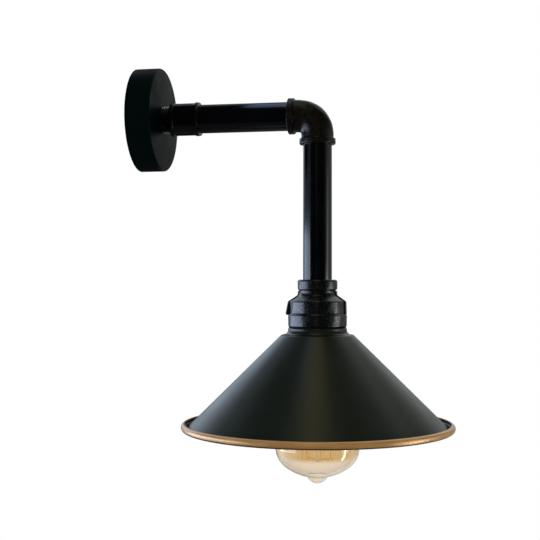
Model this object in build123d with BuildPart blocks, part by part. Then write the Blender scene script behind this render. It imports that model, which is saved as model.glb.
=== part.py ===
# Pipe wall light: rose, level pipe, elbow, drop, reducing socket, cone shade and globe lamp.
# Millimetres. The origin is on the wall at the centre of the rose, +X leaves the wall, +Z is up.
import os
from math import acos, atan2, cos, degrees, radians, sin, sqrt

from build123d import *

os.makedirs("parts", exist_ok=True)

# Layout
ARM_REACH = 176.0  # wall to the axis of the drop
SOCKET_DROP = 156.5  # axis of the arm down to the top of the reducing socket

# Pipe and its screwed joints
PIPE_OD = 27.6
PIPE_WALL = 2.6
THREAD_RELIEF = 0.6  # the thread lies this far under the coated surface
THREAD_GAP = 0.1  # radial room in a screwed joint
THREAD_DEPTH = 13.0  # pipe screwed into a socket
HOLE_ROOM = 0.3  # radial room of a plain hole

# Rose
ROSE_OD = 100.0
ROSE_DEPTH = 24.0
ROSE_WALL = 1.5
ROSE_EDGE_RADIUS = 2.0

# Wall plate
PLATE_THICK = 2.0
PLATE_ROOM = 2.0  # plate edge to the inside of the rose
CABLE_HOLE = 16.0
SLOT_SPACING = 64.0
SLOT_LENGTH = 12.0
SLOT_WIDTH = 5.0
TAB_WIDTH = 14.0
TAB_HEIGHT = 16.0
TAB_ROOM = 0.3  # tab corners to the inside of the rose
GRUB_OD = 4.0
GRUB_HEIGHT = 11.0  # set screw axis above the wall
GRUB_SOCKET = 2.0  # across flats of its key socket
GRUB_SOCKET_DEPTH = 1.6
GRUB_SINK = 0.3  # below the surface of the rose
GRUB_TIP = 1.0  # past the inside of the tab

# Nipple, washer, backnut and coupling at the rose
WASHER_THICK = 1.2
WASHER_OD = 36.0
BACKNUT_FLATS = 34.0
BACKNUT_THICK = 6.0
NIPPLE_TAIL = 1.5  # nipple past the backnut
NIPPLE_SHOW = 8.4  # open thread between rose and coupling
COUPLING_LENGTH = 28.3
COUPLING_WALL = 2.3
COUPLING_BEAD = 4.2
COUPLING_BEAD_RISE = 0.7
COUPLING_BEAD_EDGE = 0.6

# Elbow
ELBOW_REACH = 27.8  # corner to each end face
ELBOW_BEND = 17.8
ELBOW_WALL = 2.1
ELBOW_BAND = 6.0
ELBOW_BAND_RISE = 1.8
ELBOW_BAND_EDGE = 0.8  # rounding of the flat band on the arm
ELBOW_BEAD_EDGE = 1.6  # rounding of the band on the drop

# Reducing socket
SOCKET_LENGTH = 44.5
SOCKET_NECK_WALL = 3.9
SOCKET_TOP_BAND = 9.0
SOCKET_TOP_RISE = 1.7
SOCKET_NECK = 5.6
SOCKET_FLARE = 6.2
SOCKET_BODY_WALL = 5.2
SOCKET_LOW_BAND = 10.8
SOCKET_LOW_RISE = 2.0
SOCKET_EDGE = 2.0  # rounding of the upper band's top
SOCKET_SEAM = 1.0  # rounding between bands and body
SOCKET_WAIST = 4.0  # rounding of the waist
SOCKET_SHOULDER = 1.6  # rounding from the flare to the body
SOCKET_FOOT = 0.8  # rounding of the lower band's underside
SOCKET_STEP = 1.6  # slope of the lower band's upper side
RIB_WIDTH = 6.0
RIB_NECK_RISE = 1.6  # ribs past the waist
RIB_WALL_TOP = 2.4  # rib on the wall side past the body, at its upper end
RIB_WALL_LOW = 5.0  # and at the lower band
RIB_ROOM_TOP = 1.6  # rib on the room side past the body, at its upper end
RIB_ROOM_LOW = 2.0  # and at the lower band

# Lampholder
HOLDER_THREAD_OD = 41.4
HOLDER_BARREL = 18.0
HOLDER_ROOF = 3.0
HOLDER_WALL = 3.3
HOLDER_FLANGE_OD = 54.6
HOLDER_FLANGE = 1.2
BARREL_ROOM = 1.5  # barrel to the ceiling of the socket
SKIRT_OD = 39.6
SKIRT_LENGTH = 54.8  # below the flange
SKIRT_SPIGOT = 7.0
SKIRT_EDGE = 2.2
INSERT_DROP = 26.8  # flange to the underside of the ceramic insert
INSERT_THICK = 10.0
INSERT_OD = 29.6
INSERT_LEDGE = 0.5
SHELL_WALL = 0.5
SHELL_LENGTH = 26.0
SHELL_HOLE = 16.0
CONTACT_WIDTH = 5.0
CONTACT_THICK = 0.5
CONTACT_DROP = 3.3
CONTACT_PAD = 7.0  # centre of the lamp to the fixed end of the contact strip
RIVET_OD = 2.4
TERMINAL_OFFSET = 8.5
TERMINAL_LENGTH = 8.0
TERMINAL_WIDTH = 7.0
TERMINAL_HEIGHT = 8.0
TERMINAL_SCREW_OD = 3.0
TERMINAL_SCREW_HEAD_OD = 4.4
TERMINAL_SCREW_HEAD = 1.5

# Shade
SHADE_RIM_OD = 260.0
SHADE_HEIGHT = 97.3  # top plate to the bottom of the rolled rim
SHADE_SHEET = 1.0
SHADE_NECK_OD = 56.0
SHADE_NECK = 6.7  # top plate to the foot of the neck
SHADE_FOOT = 6.3  # neck out to the cone
SHADE_ROLL = 2.5  # inside radius of the rolled rim
SHADE_CURL = 95.0  # degrees that the rim turns over past the upright
SHADE_TOP_RADIUS = 1.2
SHADE_NECK_RADIUS = 5.0
SHADE_SHOULDER_RADIUS = 2.8
RING_OD = 52.0
RING_HEIGHT = 6.0
RING_CHAMFER = 1.0

# Lamp
LAMP_LENGTH = 118.0  # eyelet to the tip of the pip
LAMP_GAP = 0.3  # eyelet to the centre contact
GLOBE_R = 40.0
GLOBE_DROP = 28.2  # widest part down to the bottom
GLOBE_SHOULDER = 22.0  # side radius below the widest part
GLASS_WALL = 0.8
GLASS_NECK_OD = 25.0
NECK_FLARE = 18.0
PIP_R = 11.0
PIP_FILLET = 1.0
PIP_HEIGHT = 5.6
CAP_OD = 26.2
CAP_WALL = 0.4
CAP_CURL = 1.2  # edge turned in at the cap's shoulder
CAP_ROOM = 0.3  # cap to the thread shell of the holder
CAP_LENGTH = 27.0  # eyelet to the rim of the cap
CAP_SHELL = 20.2
CAP_GRIP = 6.5  # glass neck inside the cap
EYELET_OD = 10.0
EYELET_THICK = 2.4
STEM_ROD_OD = 3.6
STEM_FOOT = 12.0
BUTTON_OD = 5.2
CAGE_TOP_R = 8.0
CAGE_LOW_R = 15.0
CAGE_HEIGHT = 48.0
CAGE_CLEAR = 17.0  # lower hooks above the bottom of the globe
CAGE_LOOPS = 6
CAGE_SPREAD = 300.0  # degrees taken by the zigzag
FILAMENT_OD = 0.6
FILAMENT_TURN = 0.8  # bend radius at the hooks
HAIRPIN = 1.8  # distance of the two strands at a hook
SUPPORT_OD = 0.6
SUPPORT_GAP = 0.15  # hook to filament

# Wiring
BLOCK_PITCH = 11.0
BLOCK_TOWER = 6.0
BLOCK_DEPTH = 17.0
BLOCK_HEIGHT = 11.0
BLOCK_WEB = 4.0
BLOCK_EDGE = 8.9  # far side of the block to the edge of the wall plate
BLOCK_TUBE_OD = 4.6
BLOCK_TUBE_BORE = 3.2
BLOCK_TUBE_LENGTH = 15.0
BLOCK_SCREW_OD = 2.8
BLOCK_SCREW_SPACING = 8.0
FIX_SCREW_OD = 2.8
FIX_SCREW_HEAD_OD = 4.6
FIX_SCREW_HEAD = 1.8
SCREW_TIP_ROOM = 0.3  # screw ends to the wall
EARTH_EDGE = 21.5  # earth screw to the edge of the wall plate
EARTH_BOSS_OD = 8.0
EARTH_BOSS = 2.0
EARTH_SCREW_OD = 4.0
EARTH_HEAD_OD = 7.6
EARTH_HEAD = 2.6
TAG_THICK = 0.8
TAG_BARREL_OD = 3.4
TAG_BARREL = 5.0
FLEX_OD = 6.2
FLEX_BEND = 30.0
FLEX_LEAD_IN = 4.0  # sheath starts this far inside the nipple
FLEX_TAIL = 1.0  # sheath past the roof of the holder
CORE_OD = 2.2
CORE_OFFSET = 1.4
CORE_BEND = 3.5
CORE_GRIP = 4.0  # core inside a terminal
CORE_RUN = 4.4  # straight run of a core out of the terminal block
CORE_DROP = 7.0  # straight run of a core at the lampholder
EARTH_RUN = 6.6  # straight run at both ends of the earth lead

# Values that follow from the sizes above
thread_r = PIPE_OD / 2 - THREAD_RELIEF
thread_bore_r = thread_r + THREAD_GAP
pipe_bore_r = PIPE_OD / 2 - PIPE_WALL
rose_inner_r = ROSE_OD / 2 - ROSE_WALL
plate_r = rose_inner_r - PLATE_ROOM
tab_face = sqrt(rose_inner_r**2 - (TAB_WIDTH / 2) ** 2) - TAB_ROOM
washer_x = ROSE_DEPTH - ROSE_WALL - WASHER_THICK
backnut_x = washer_x - BACKNUT_THICK
nipple_start = backnut_x - NIPPLE_TAIL
coupling_start = ROSE_DEPTH + NIPPLE_SHOW
coupling_end = coupling_start + COUPLING_LENGTH
coupling_r = thread_bore_r + COUPLING_WALL
elbow_face = ARM_REACH - ELBOW_REACH
elbow_thread = ELBOW_REACH - ELBOW_BEND
elbow_r = thread_bore_r + ELBOW_WALL
elbow_band_r = elbow_r + ELBOW_BAND_RISE
socket_top = -SOCKET_DROP
socket_bottom = socket_top - SOCKET_LENGTH
holder_r = HOLDER_THREAD_OD / 2
holder_bore_r = holder_r + THREAD_GAP
flange_bottom = socket_bottom - HOLDER_FLANGE
barrel_top = socket_bottom + HOLDER_BARREL
cavity_r = holder_r - HOLDER_WALL
cavity_top = barrel_top - HOLDER_ROOF
insert_bottom = flange_bottom - INSERT_DROP
insert_top = insert_bottom + INSERT_THICK
insert_bore_r = INSERT_OD / 2 + THREAD_GAP
ledge_bore_r = insert_bore_r - INSERT_LEDGE
skirt_bottom = flange_bottom - SKIRT_LENGTH
cap_r = CAP_OD / 2
shell_r = cap_r + CAP_ROOM
eyelet_top = insert_bottom - CONTACT_DROP - LAMP_GAP
cap_rim = eyelet_top - CAP_LENGTH
cap_shoulder = cap_rim + CAP_SHELL
lamp_tip = eyelet_top - LAMP_LENGTH
globe_bottom = lamp_tip + PIP_HEIGHT
globe_z = globe_bottom + GLOBE_DROP
cage_low = globe_bottom + CAGE_CLEAR
cage_top = cage_low + CAGE_HEIGHT
block_x = PLATE_THICK + BLOCK_HEIGHT / 2
block_y = plate_r - BLOCK_EDGE - BLOCK_DEPTH / 2
block_near = block_y - BLOCK_DEPTH / 2
earth_x = PLATE_THICK + EARTH_BOSS
earth_y = EARTH_EDGE - plate_r

# Planes and axes of the drop: sketch x is the radius, sketch y is the height
drop_plane = Plane(origin=(ARM_REACH, 0, 0), x_dir=(1, 0, 0), z_dir=(0, -1, 0))
drop_axis = Axis((ARM_REACH, 0, 0), (0, 0, 1))
drop_centre = (ARM_REACH, 0)


def circles_over(builder, radius):
    """Round edges of a part that are larger than a radius."""
    return [e for e in builder.edges().filter_by(GeomType.CIRCLE) if e.radius > radius]


# Wall plate: disc with folded tabs, slots for the wall screws, cable hole and earth boss
with BuildPart() as wall_plate:
    with BuildSketch(Plane.YZ):
        Circle(plate_r)
        Rectangle(TAB_WIDTH, 2 * tab_face)
    extrude(amount=PLATE_THICK)
    with BuildSketch(Plane.YZ):
        with GridLocations(0, 2 * tab_face - PLATE_THICK, 1, 2):
            Rectangle(TAB_WIDTH, PLATE_THICK)
    extrude(amount=TAB_HEIGHT)
    with BuildSketch(Plane.YZ):
        with Locations((earth_y, 0)):
            Circle(EARTH_BOSS_OD / 2)
    extrude(amount=earth_x)
    with BuildSketch(Plane.YZ):
        Circle(CABLE_HOLE / 2)
        with GridLocations(0, SLOT_SPACING, 1, 2):
            SlotOverall(SLOT_LENGTH, SLOT_WIDTH, rotation=90)
        with Locations((earth_y, 0)):
            Circle(EARTH_SCREW_OD / 2 + THREAD_GAP)
        with Locations((block_y, BLOCK_PITCH / 2)):
            Circle(FIX_SCREW_OD / 2 + THREAD_GAP)
    extrude(amount=earth_x, mode=Mode.SUBTRACT)
    with BuildSketch(Plane.XY):
        with Locations((GRUB_HEIGHT, 0)):
            Circle(GRUB_OD / 2 + THREAD_GAP)
    extrude(amount=tab_face, both=True, mode=Mode.SUBTRACT)
wall_plate.part.label = "wall_plate"
export_step(wall_plate.part, "parts/wall_plate.step")

# Rose: drawn cup, open at the back, with a hole for the nipple and two for the set screws
with BuildPart() as rose_cover:
    with BuildSketch(Plane.YZ):
        Circle(ROSE_OD / 2)
    extrude(amount=ROSE_DEPTH)
    fillet(rose_cover.edges().group_by(Axis.X)[-1], ROSE_EDGE_RADIUS)
    offset(amount=-ROSE_WALL, openings=rose_cover.faces().sort_by(Axis.X)[0])
    with BuildSketch(Plane.YZ.offset(ROSE_DEPTH)):
        Circle(thread_r + HOLE_ROOM)
    extrude(amount=-2 * ROSE_WALL, mode=Mode.SUBTRACT)
    with BuildSketch(Plane.XY):
        with Locations((GRUB_HEIGHT, 0)):
            Circle(GRUB_OD / 2 + HOLE_ROOM)
    extrude(amount=ROSE_OD, both=True, mode=Mode.SUBTRACT)
rose_cover.part.label = "rose_cover"
export_step(rose_cover.part, "parts/rose_cover.step")

# Set screws at the top and the bottom of the rose
with BuildPart() as rose_grub_screws:
    with BuildSketch(Plane.XY.offset(tab_face - PLATE_THICK - GRUB_TIP)):
        with Locations((GRUB_HEIGHT, 0)):
            Circle(GRUB_OD / 2)
    extrude(amount=ROSE_OD / 2 - GRUB_SINK - tab_face + PLATE_THICK + GRUB_TIP)
    with BuildSketch(Plane.XY.offset(ROSE_OD / 2 - GRUB_SINK)):
        with Locations((GRUB_HEIGHT, 0)):
            RegularPolygon(GRUB_SOCKET / 2, 6, major_radius=False)
    extrude(amount=-GRUB_SOCKET_DEPTH, mode=Mode.SUBTRACT)
    mirror(about=Plane.XY)
rose_grub_screws.part.label = "rose_grub_screws"
export_step(rose_grub_screws.part, "parts/rose_grub_screws.step")

# Nipple through the front of the rose
with BuildPart() as wall_nipple:
    with BuildSketch(Plane.YZ.offset(nipple_start)):
        Circle(thread_r)
        Circle(pipe_bore_r, mode=Mode.SUBTRACT)
    extrude(amount=coupling_start + THREAD_DEPTH - nipple_start)
    chamfer(circles_over(wall_nipple, pipe_bore_r + PIPE_WALL / 4), THREAD_RELIEF)
wall_nipple.part.label = "wall_nipple"
export_step(wall_nipple.part, "parts/wall_nipple.step")

with BuildPart() as nipple_washer:
    with BuildSketch(Plane.YZ.offset(washer_x)):
        Circle(WASHER_OD / 2)
        Circle(thread_r + HOLE_ROOM, mode=Mode.SUBTRACT)
    extrude(amount=WASHER_THICK)
nipple_washer.part.label = "nipple_washer"
export_step(nipple_washer.part, "parts/nipple_washer.step")

with BuildPart() as nipple_backnut:
    with BuildSketch(Plane.YZ.offset(backnut_x)):
        RegularPolygon(BACKNUT_FLATS / 2, 6, major_radius=False)
        Circle(thread_bore_r, mode=Mode.SUBTRACT)
    extrude(amount=BACKNUT_THICK)
nipple_backnut.part.label = "nipple_backnut"
export_step(nipple_backnut.part, "parts/nipple_backnut.step")

# Coupling: sleeve with a rounded bead at each end
with BuildPart() as arm_coupling:
    with BuildSketch(Plane.YZ.offset(coupling_start)):
        Circle(coupling_r)
    extrude(amount=COUPLING_LENGTH)
    for bead_start in (coupling_start, coupling_end - COUPLING_BEAD):
        with BuildSketch(Plane.YZ.offset(bead_start)):
            Circle(coupling_r + COUPLING_BEAD_RISE)
        extrude(amount=COUPLING_BEAD)
    fillet(circles_over(arm_coupling, coupling_r + COUPLING_BEAD_RISE / 2), COUPLING_BEAD_EDGE)
    with BuildSketch(Plane.YZ.offset(coupling_start)):
        Circle(thread_bore_r)
    extrude(amount=COUPLING_LENGTH, mode=Mode.SUBTRACT)
arm_coupling.part.label = "arm_coupling"
export_step(arm_coupling.part, "parts/arm_coupling.step")

# Level pipe with a thread at each end
arm_pipe_start = coupling_end - THREAD_DEPTH
arm_pipe_end = elbow_face + elbow_thread
with BuildPart() as arm_pipe:
    with BuildSketch(Plane.YZ.offset(arm_pipe_start)):
        Circle(thread_r)
    extrude(amount=arm_pipe_end - arm_pipe_start)
    with BuildSketch(Plane.YZ.offset(coupling_end)):
        Circle(PIPE_OD / 2)
    extrude(amount=elbow_face - coupling_end)
    with BuildSketch(Plane.YZ.offset(arm_pipe_start)):
        Circle(pipe_bore_r)
    extrude(amount=arm_pipe_end - arm_pipe_start, mode=Mode.SUBTRACT)
arm_pipe.part.label = "arm_pipe"
export_step(arm_pipe.part, "parts/arm_pipe.step")

# Cast elbow: bent body, a band at each mouth, a bend-shaped passage and two thread bores
with BuildPart() as pipe_elbow:
    with BuildLine() as elbow_path:
        FilletPolyline(
            (elbow_face, 0, 0),
            (ARM_REACH, 0, 0),
            (ARM_REACH, 0, -ELBOW_REACH),
            radius=ELBOW_BEND,
        )
    with BuildSketch(Plane.YZ.offset(elbow_face)):
        Circle(elbow_r)
    sweep(path=elbow_path.wires()[0])
    with BuildSketch(Plane.YZ.offset(elbow_face)):
        Circle(elbow_band_r)
    extrude(amount=ELBOW_BAND)
    with BuildSketch(Plane.XY.offset(-ELBOW_REACH)):
        with Locations(drop_centre):
            Circle(elbow_band_r)
    extrude(amount=ELBOW_BAND)
    band_edges = ShapeList(circles_over(pipe_elbow, elbow_r + ELBOW_BAND_RISE / 2)).sort_by(Axis.X)
    fillet(band_edges[:2], ELBOW_BAND_EDGE)
    band_edges = ShapeList(circles_over(pipe_elbow, elbow_r + ELBOW_BAND_RISE / 2)).sort_by(Axis.X)
    fillet(band_edges[-2:], ELBOW_BEAD_EDGE)
    with BuildSketch(Plane.YZ.offset(elbow_face)):
        Circle(pipe_bore_r)
    sweep(path=elbow_path.wires()[0], mode=Mode.SUBTRACT)
    with BuildSketch(Plane.YZ.offset(elbow_face)):
        Circle(thread_bore_r)
    extrude(amount=elbow_thread, mode=Mode.SUBTRACT)
    with BuildSketch(Plane.XY.offset(-ELBOW_REACH)):
        with Locations(drop_centre):
            Circle(thread_bore_r)
    extrude(amount=elbow_thread, mode=Mode.SUBTRACT)
pipe_elbow.part.label = "pipe_elbow"
export_step(pipe_elbow.part, "parts/pipe_elbow.step")

# Upright pipe with a thread at each end
drop_pipe_end = socket_top - THREAD_DEPTH
drop_pipe_length = SOCKET_DROP + THREAD_DEPTH - ELBOW_BEND
with BuildPart() as drop_pipe:
    with BuildSketch(Plane.XY.offset(drop_pipe_end)):
        with Locations(drop_centre):
            Circle(thread_r)
    extrude(amount=drop_pipe_length)
    with BuildSketch(Plane.XY.offset(socket_top)):
        with Locations(drop_centre):
            Circle(PIPE_OD / 2)
    extrude(amount=SOCKET_DROP - ELBOW_REACH)
    with BuildSketch(Plane.XY.offset(drop_pipe_end)):
        with Locations(drop_centre):
            Circle(pipe_bore_r)
    extrude(amount=drop_pipe_length, mode=Mode.SUBTRACT)
drop_pipe.part.label = "drop_pipe"
export_step(drop_pipe.part, "parts/drop_pipe.step")

# Cast reducing socket: two bands, a waist that flares to the body, and two side ribs
neck_r = thread_bore_r + SOCKET_NECK_WALL
body_r = holder_bore_r + SOCKET_BODY_WALL
top_band_low = socket_top - SOCKET_TOP_BAND
flare_top = top_band_low - SOCKET_NECK
flare_low = flare_top - SOCKET_FLARE
low_band_top = socket_bottom + SOCKET_LOW_BAND
socket_ceiling = barrel_top + BARREL_ROOM
with BuildPart() as reducing_socket:
    with BuildSketch(drop_plane):
        with BuildLine():
            FilletPolyline(
                (0, socket_top),
                (neck_r + SOCKET_TOP_RISE, socket_top),
                (neck_r + SOCKET_TOP_RISE, top_band_low),
                (neck_r, top_band_low - SOCKET_TOP_RISE),
                (neck_r, flare_top),
                (body_r, flare_low),
                (body_r, low_band_top + SOCKET_STEP),
                (body_r + SOCKET_LOW_RISE, low_band_top),
                (body_r + SOCKET_LOW_RISE, socket_bottom),
                (0, socket_bottom),
                radius=[SOCKET_EDGE, SOCKET_SEAM, SOCKET_SEAM, SOCKET_WAIST]
                + [SOCKET_SHOULDER, SOCKET_SEAM, SOCKET_SEAM, SOCKET_FOOT],
            )
            Line((0, socket_bottom), (0, socket_top))
        make_face()
    revolve(axis=drop_axis)
    rib_root = neck_r - SOCKET_NECK_WALL / 2
    rib_top = top_band_low - SOCKET_TOP_RISE
    with BuildSketch(drop_plane):
        for side, top_rise, low_rise in (-1, RIB_WALL_TOP, RIB_WALL_LOW), (1, RIB_ROOM_TOP, RIB_ROOM_LOW):
            with BuildLine():
                Polyline(
                    (side * rib_root, rib_top),
                    (side * (neck_r + RIB_NECK_RISE), rib_top),
                    (side * (neck_r + RIB_NECK_RISE), flare_top),
                    (side * (body_r + top_rise), flare_low),
                    (side * (body_r + low_rise), low_band_top),
                    (side * rib_root, low_band_top),
                    close=True,
                )
            make_face()
    extrude(amount=RIB_WIDTH / 2, both=True)
    with BuildSketch(drop_plane):
        with BuildLine():
            Polyline(
                (0, socket_top),
                (thread_bore_r, socket_top),
                (thread_bore_r, socket_top - THREAD_DEPTH),
                (pipe_bore_r, socket_top - THREAD_DEPTH),
                (pipe_bore_r, socket_ceiling + (holder_bore_r - pipe_bore_r) / 2),
                (holder_bore_r, socket_ceiling),
                (holder_bore_r, socket_bottom),
                (0, socket_bottom),
                close=True,
            )
        make_face()
    revolve(axis=drop_axis, mode=Mode.SUBTRACT)
reducing_socket.part.label = "reducing_socket"
export_step(reducing_socket.part, "parts/reducing_socket.step")

# Lampholder cap: threaded barrel in the socket, with a flange under it
with BuildPart() as holder_cap:
    with BuildSketch(drop_plane):
        with BuildLine():
            Polyline(
                (FLEX_OD / 2 + HOLE_ROOM, barrel_top),
                (holder_r, barrel_top),
                (holder_r, socket_bottom),
                (HOLDER_FLANGE_OD / 2, socket_bottom),
                (HOLDER_FLANGE_OD / 2, flange_bottom),
                (cavity_r, flange_bottom),
                (cavity_r, cavity_top),
                (FLEX_OD / 2 + HOLE_ROOM, cavity_top),
                close=True,
            )
        make_face()
    revolve(axis=drop_axis)
holder_cap.part.label = "holder_cap"
export_step(holder_cap.part, "parts/holder_cap.step")

# Lampholder skirt: spigot in the cap, a ledge for the insert, and a long sleeve round the lamp cap
with BuildPart() as holder_skirt:
    with BuildSketch(drop_plane):
        with BuildLine():
            Polyline(
                (insert_bore_r, flange_bottom + SKIRT_SPIGOT),
                (cavity_r - THREAD_GAP, flange_bottom + SKIRT_SPIGOT),
                (cavity_r - THREAD_GAP, flange_bottom),
                (SKIRT_OD / 2, flange_bottom),
                (SKIRT_OD / 2, skirt_bottom),
                (ledge_bore_r, skirt_bottom),
                (ledge_bore_r, insert_bottom),
                (insert_bore_r, insert_bottom),
                close=True,
            )
        make_face()
    revolve(axis=drop_axis)
    fillet(holder_skirt.edges().group_by(Axis.Z)[0].sort_by(SortBy.RADIUS)[-1], SKIRT_EDGE)
holder_skirt.part.label = "holder_skirt"
export_step(holder_skirt.part, "parts/holder_skirt.step")

# Ceramic insert with two rivet holes
shell_rivet_x = (SHELL_HOLE / 2 + shell_r) / 2
contact_rivet_x = -CONTACT_PAD + CONTACT_WIDTH / 2 - RIVET_OD / 2
rivet_spots = [(ARM_REACH + shell_rivet_x, 0), (ARM_REACH + contact_rivet_x, 0)]
with BuildPart() as holder_insert:
    with BuildSketch(Plane.XY.offset(insert_bottom)):
        with Locations(drop_centre):
            Circle(INSERT_OD / 2)
        with Locations(*rivet_spots):
            Circle(RIVET_OD / 2 + THREAD_GAP, mode=Mode.SUBTRACT)
    extrude(amount=INSERT_THICK)
holder_insert.part.label = "holder_insert"
export_step(holder_insert.part, "parts/holder_insert.step")

with BuildPart() as contact_rivets:
    with BuildSketch(Plane.XY.offset(insert_bottom)):
        with Locations(*rivet_spots):
            Circle(RIVET_OD / 2)
    extrude(amount=INSERT_THICK)
contact_rivets.part.label = "contact_rivets"
export_step(contact_rivets.part, "parts/contact_rivets.step")

# Thread shell that takes the lamp cap
with BuildPart() as thread_shell:
    with BuildSketch(drop_plane):
        with BuildLine():
            Polyline(
                (SHELL_HOLE / 2, insert_bottom),
                (shell_r + SHELL_WALL, insert_bottom),
                (shell_r + SHELL_WALL, insert_bottom - SHELL_LENGTH),
                (shell_r, insert_bottom - SHELL_LENGTH),
                (shell_r, insert_bottom - SHELL_WALL),
                (SHELL_HOLE / 2, insert_bottom - SHELL_WALL),
                close=True,
            )
        make_face()
    revolve(axis=drop_axis)
thread_shell.part.label = "thread_shell"
export_step(thread_shell.part, "parts/thread_shell.step")

# Centre contact: strip riveted at one end and set down at the other
contact_low = insert_bottom - CONTACT_DROP
contact_knee = contact_rivet_x + RIVET_OD
with BuildPart() as centre_contact:
    with BuildSketch(drop_plane):
        with BuildLine():
            Polyline(
                (-CONTACT_PAD, insert_bottom),
                (contact_knee, insert_bottom),
                (0, contact_low + CONTACT_THICK),
                (EYELET_OD / 2, contact_low + CONTACT_THICK),
                (EYELET_OD / 2, contact_low),
                (-CONTACT_THICK, contact_low),
                (contact_knee - CONTACT_THICK, insert_bottom - CONTACT_THICK),
                (-CONTACT_PAD, insert_bottom - CONTACT_THICK),
                close=True,
            )
        make_face()
    extrude(amount=CONTACT_WIDTH / 2, both=True)
centre_contact.part.label = "centre_contact"
export_step(centre_contact.part, "parts/centre_contact.step")

# Two terminals on the insert, each with a wire hole from above and a screw from the side
terminal_spots = [(ARM_REACH - TERMINAL_OFFSET, 0), (ARM_REACH + TERMINAL_OFFSET, 0)]
terminal_top = insert_top + TERMINAL_HEIGHT
terminal_screw_z = terminal_top - CORE_GRIP / 2
with BuildPart() as holder_terminals:
    with BuildSketch(Plane.XY.offset(insert_top)):
        with Locations(*terminal_spots):
            Rectangle(TERMINAL_LENGTH, TERMINAL_WIDTH)
    extrude(amount=TERMINAL_HEIGHT)
    with BuildSketch(Plane.XY.offset(terminal_top)):
        with Locations(*terminal_spots):
            Circle(CORE_OD / 2 + THREAD_GAP)
    extrude(amount=-CORE_GRIP - HOLE_ROOM, mode=Mode.SUBTRACT)
    with BuildSketch(Plane.XZ):
        with GridLocations(2 * TERMINAL_OFFSET, 0, 2, 1):
            with Locations((ARM_REACH, terminal_screw_z)):
                Circle(TERMINAL_SCREW_OD / 2 + THREAD_GAP)
    extrude(amount=-TERMINAL_WIDTH, mode=Mode.SUBTRACT)
holder_terminals.part.label = "holder_terminals"
export_step(holder_terminals.part, "parts/holder_terminals.step")

with BuildPart() as holder_terminal_screws:
    with BuildSketch(Plane.XZ.offset(-CORE_OD / 2 - THREAD_GAP)):
        with GridLocations(2 * TERMINAL_OFFSET, 0, 2, 1):
            with Locations((ARM_REACH, terminal_screw_z)):
                Circle(TERMINAL_SCREW_OD / 2)
    extrude(amount=-TERMINAL_WIDTH / 2 + CORE_OD / 2 + THREAD_GAP)
    with BuildSketch(Plane.XZ.offset(-TERMINAL_WIDTH / 2)):
        with GridLocations(2 * TERMINAL_OFFSET, 0, 2, 1):
            with Locations((ARM_REACH, terminal_screw_z)):
                Circle(TERMINAL_SCREW_HEAD_OD / 2)
    extrude(amount=-TERMINAL_SCREW_HEAD)
holder_terminal_screws.part.label = "holder_terminal_screws"
export_step(holder_terminal_screws.part, "parts/holder_terminal_screws.step")

# Shade: sheet from the top plate over neck, foot and cone into a rim rolled to a bead
neck_foot = flange_bottom - SHADE_NECK
shoulder_x = SHADE_NECK_OD / 2 + SHADE_FOOT
roll_x = SHADE_RIM_OD / 2 - SHADE_SHEET - SHADE_ROLL
roll_z = flange_bottom - SHADE_HEIGHT + SHADE_SHEET + SHADE_ROLL
# The cone runs from the shoulder to the roll as its tangent
roll_out = roll_x - shoulder_x
roll_down = neck_foot - roll_z
half_angle = acos(SHADE_ROLL / sqrt(roll_out**2 + roll_down**2)) - atan2(roll_down, roll_out)
cone_end_x = roll_x - SHADE_ROLL * cos(half_angle)
cone_end_z = roll_z - SHADE_ROLL * sin(half_angle)
roll_turn = 180 - degrees(half_angle) + SHADE_CURL
with BuildPart() as shade:
    with BuildSketch(drop_plane):
        with BuildLine():
            sheet_line = FilletPolyline(
                (SKIRT_OD / 2 + HOLE_ROOM, flange_bottom),
                (SHADE_NECK_OD / 2, flange_bottom),
                (SHADE_NECK_OD / 2, neck_foot),
                (shoulder_x, neck_foot),
                (cone_end_x, cone_end_z),
                radius=[SHADE_TOP_RADIUS, SHADE_NECK_RADIUS, SHADE_SHOULDER_RADIUS],
            )
            JernArc(sheet_line @ 1, sheet_line % 1, SHADE_ROLL, roll_turn)
            offset(amount=SHADE_SHEET, side=Side.RIGHT, closed=True)
        make_face()
    revolve(axis=drop_axis)
shade.part.label = "shade"
export_step(shade.part, "parts/shade.step")

# Ring nut that clamps the shade from below
ring_top = flange_bottom - SHADE_SHEET
with BuildPart() as shade_ring:
    with BuildSketch(Plane.XY.offset(ring_top)):
        with Locations(drop_centre):
            Circle(RING_OD / 2)
            Circle(SKIRT_OD / 2 + THREAD_GAP, mode=Mode.SUBTRACT)
    extrude(amount=-RING_HEIGHT)
    chamfer(circles_over(shade_ring, SKIRT_OD / 2 + HOLE_ROOM), RING_CHAMFER)
shade_ring.part.label = "shade_ring"
export_step(shade_ring.part, "parts/shade_ring.step")

# Lamp glass: neck, flare, globe with a flattened bottom, and a pip


def glass_outline(wall):
    """Radii and heights of the glass, for its outside (wall 0) or its inside."""
    neck = GLASS_NECK_OD / 2 - wall
    flare = NECK_FLARE + wall
    side = GLOBE_SHOULDER - wall
    drop = GLOBE_DROP - wall
    globe = GLOBE_R - wall
    centre = globe - side
    bowl = (centre**2 + drop**2 - side**2) / (2 * (drop - side))
    rise = bowl - drop
    flare_x = neck + flare
    flare_z = globe_z + sqrt((globe + flare) ** 2 - flare_x**2)
    meet = globe / (globe + flare)
    upper = (flare_x * meet, globe_z + (flare_z - globe_z) * meet)
    span = sqrt(centre**2 + rise**2)
    lower = (bowl * centre / span, globe_z + rise - bowl * rise / span)
    return neck, flare, flare_z, globe, upper, side, lower, bowl, globe_z + rise


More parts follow.
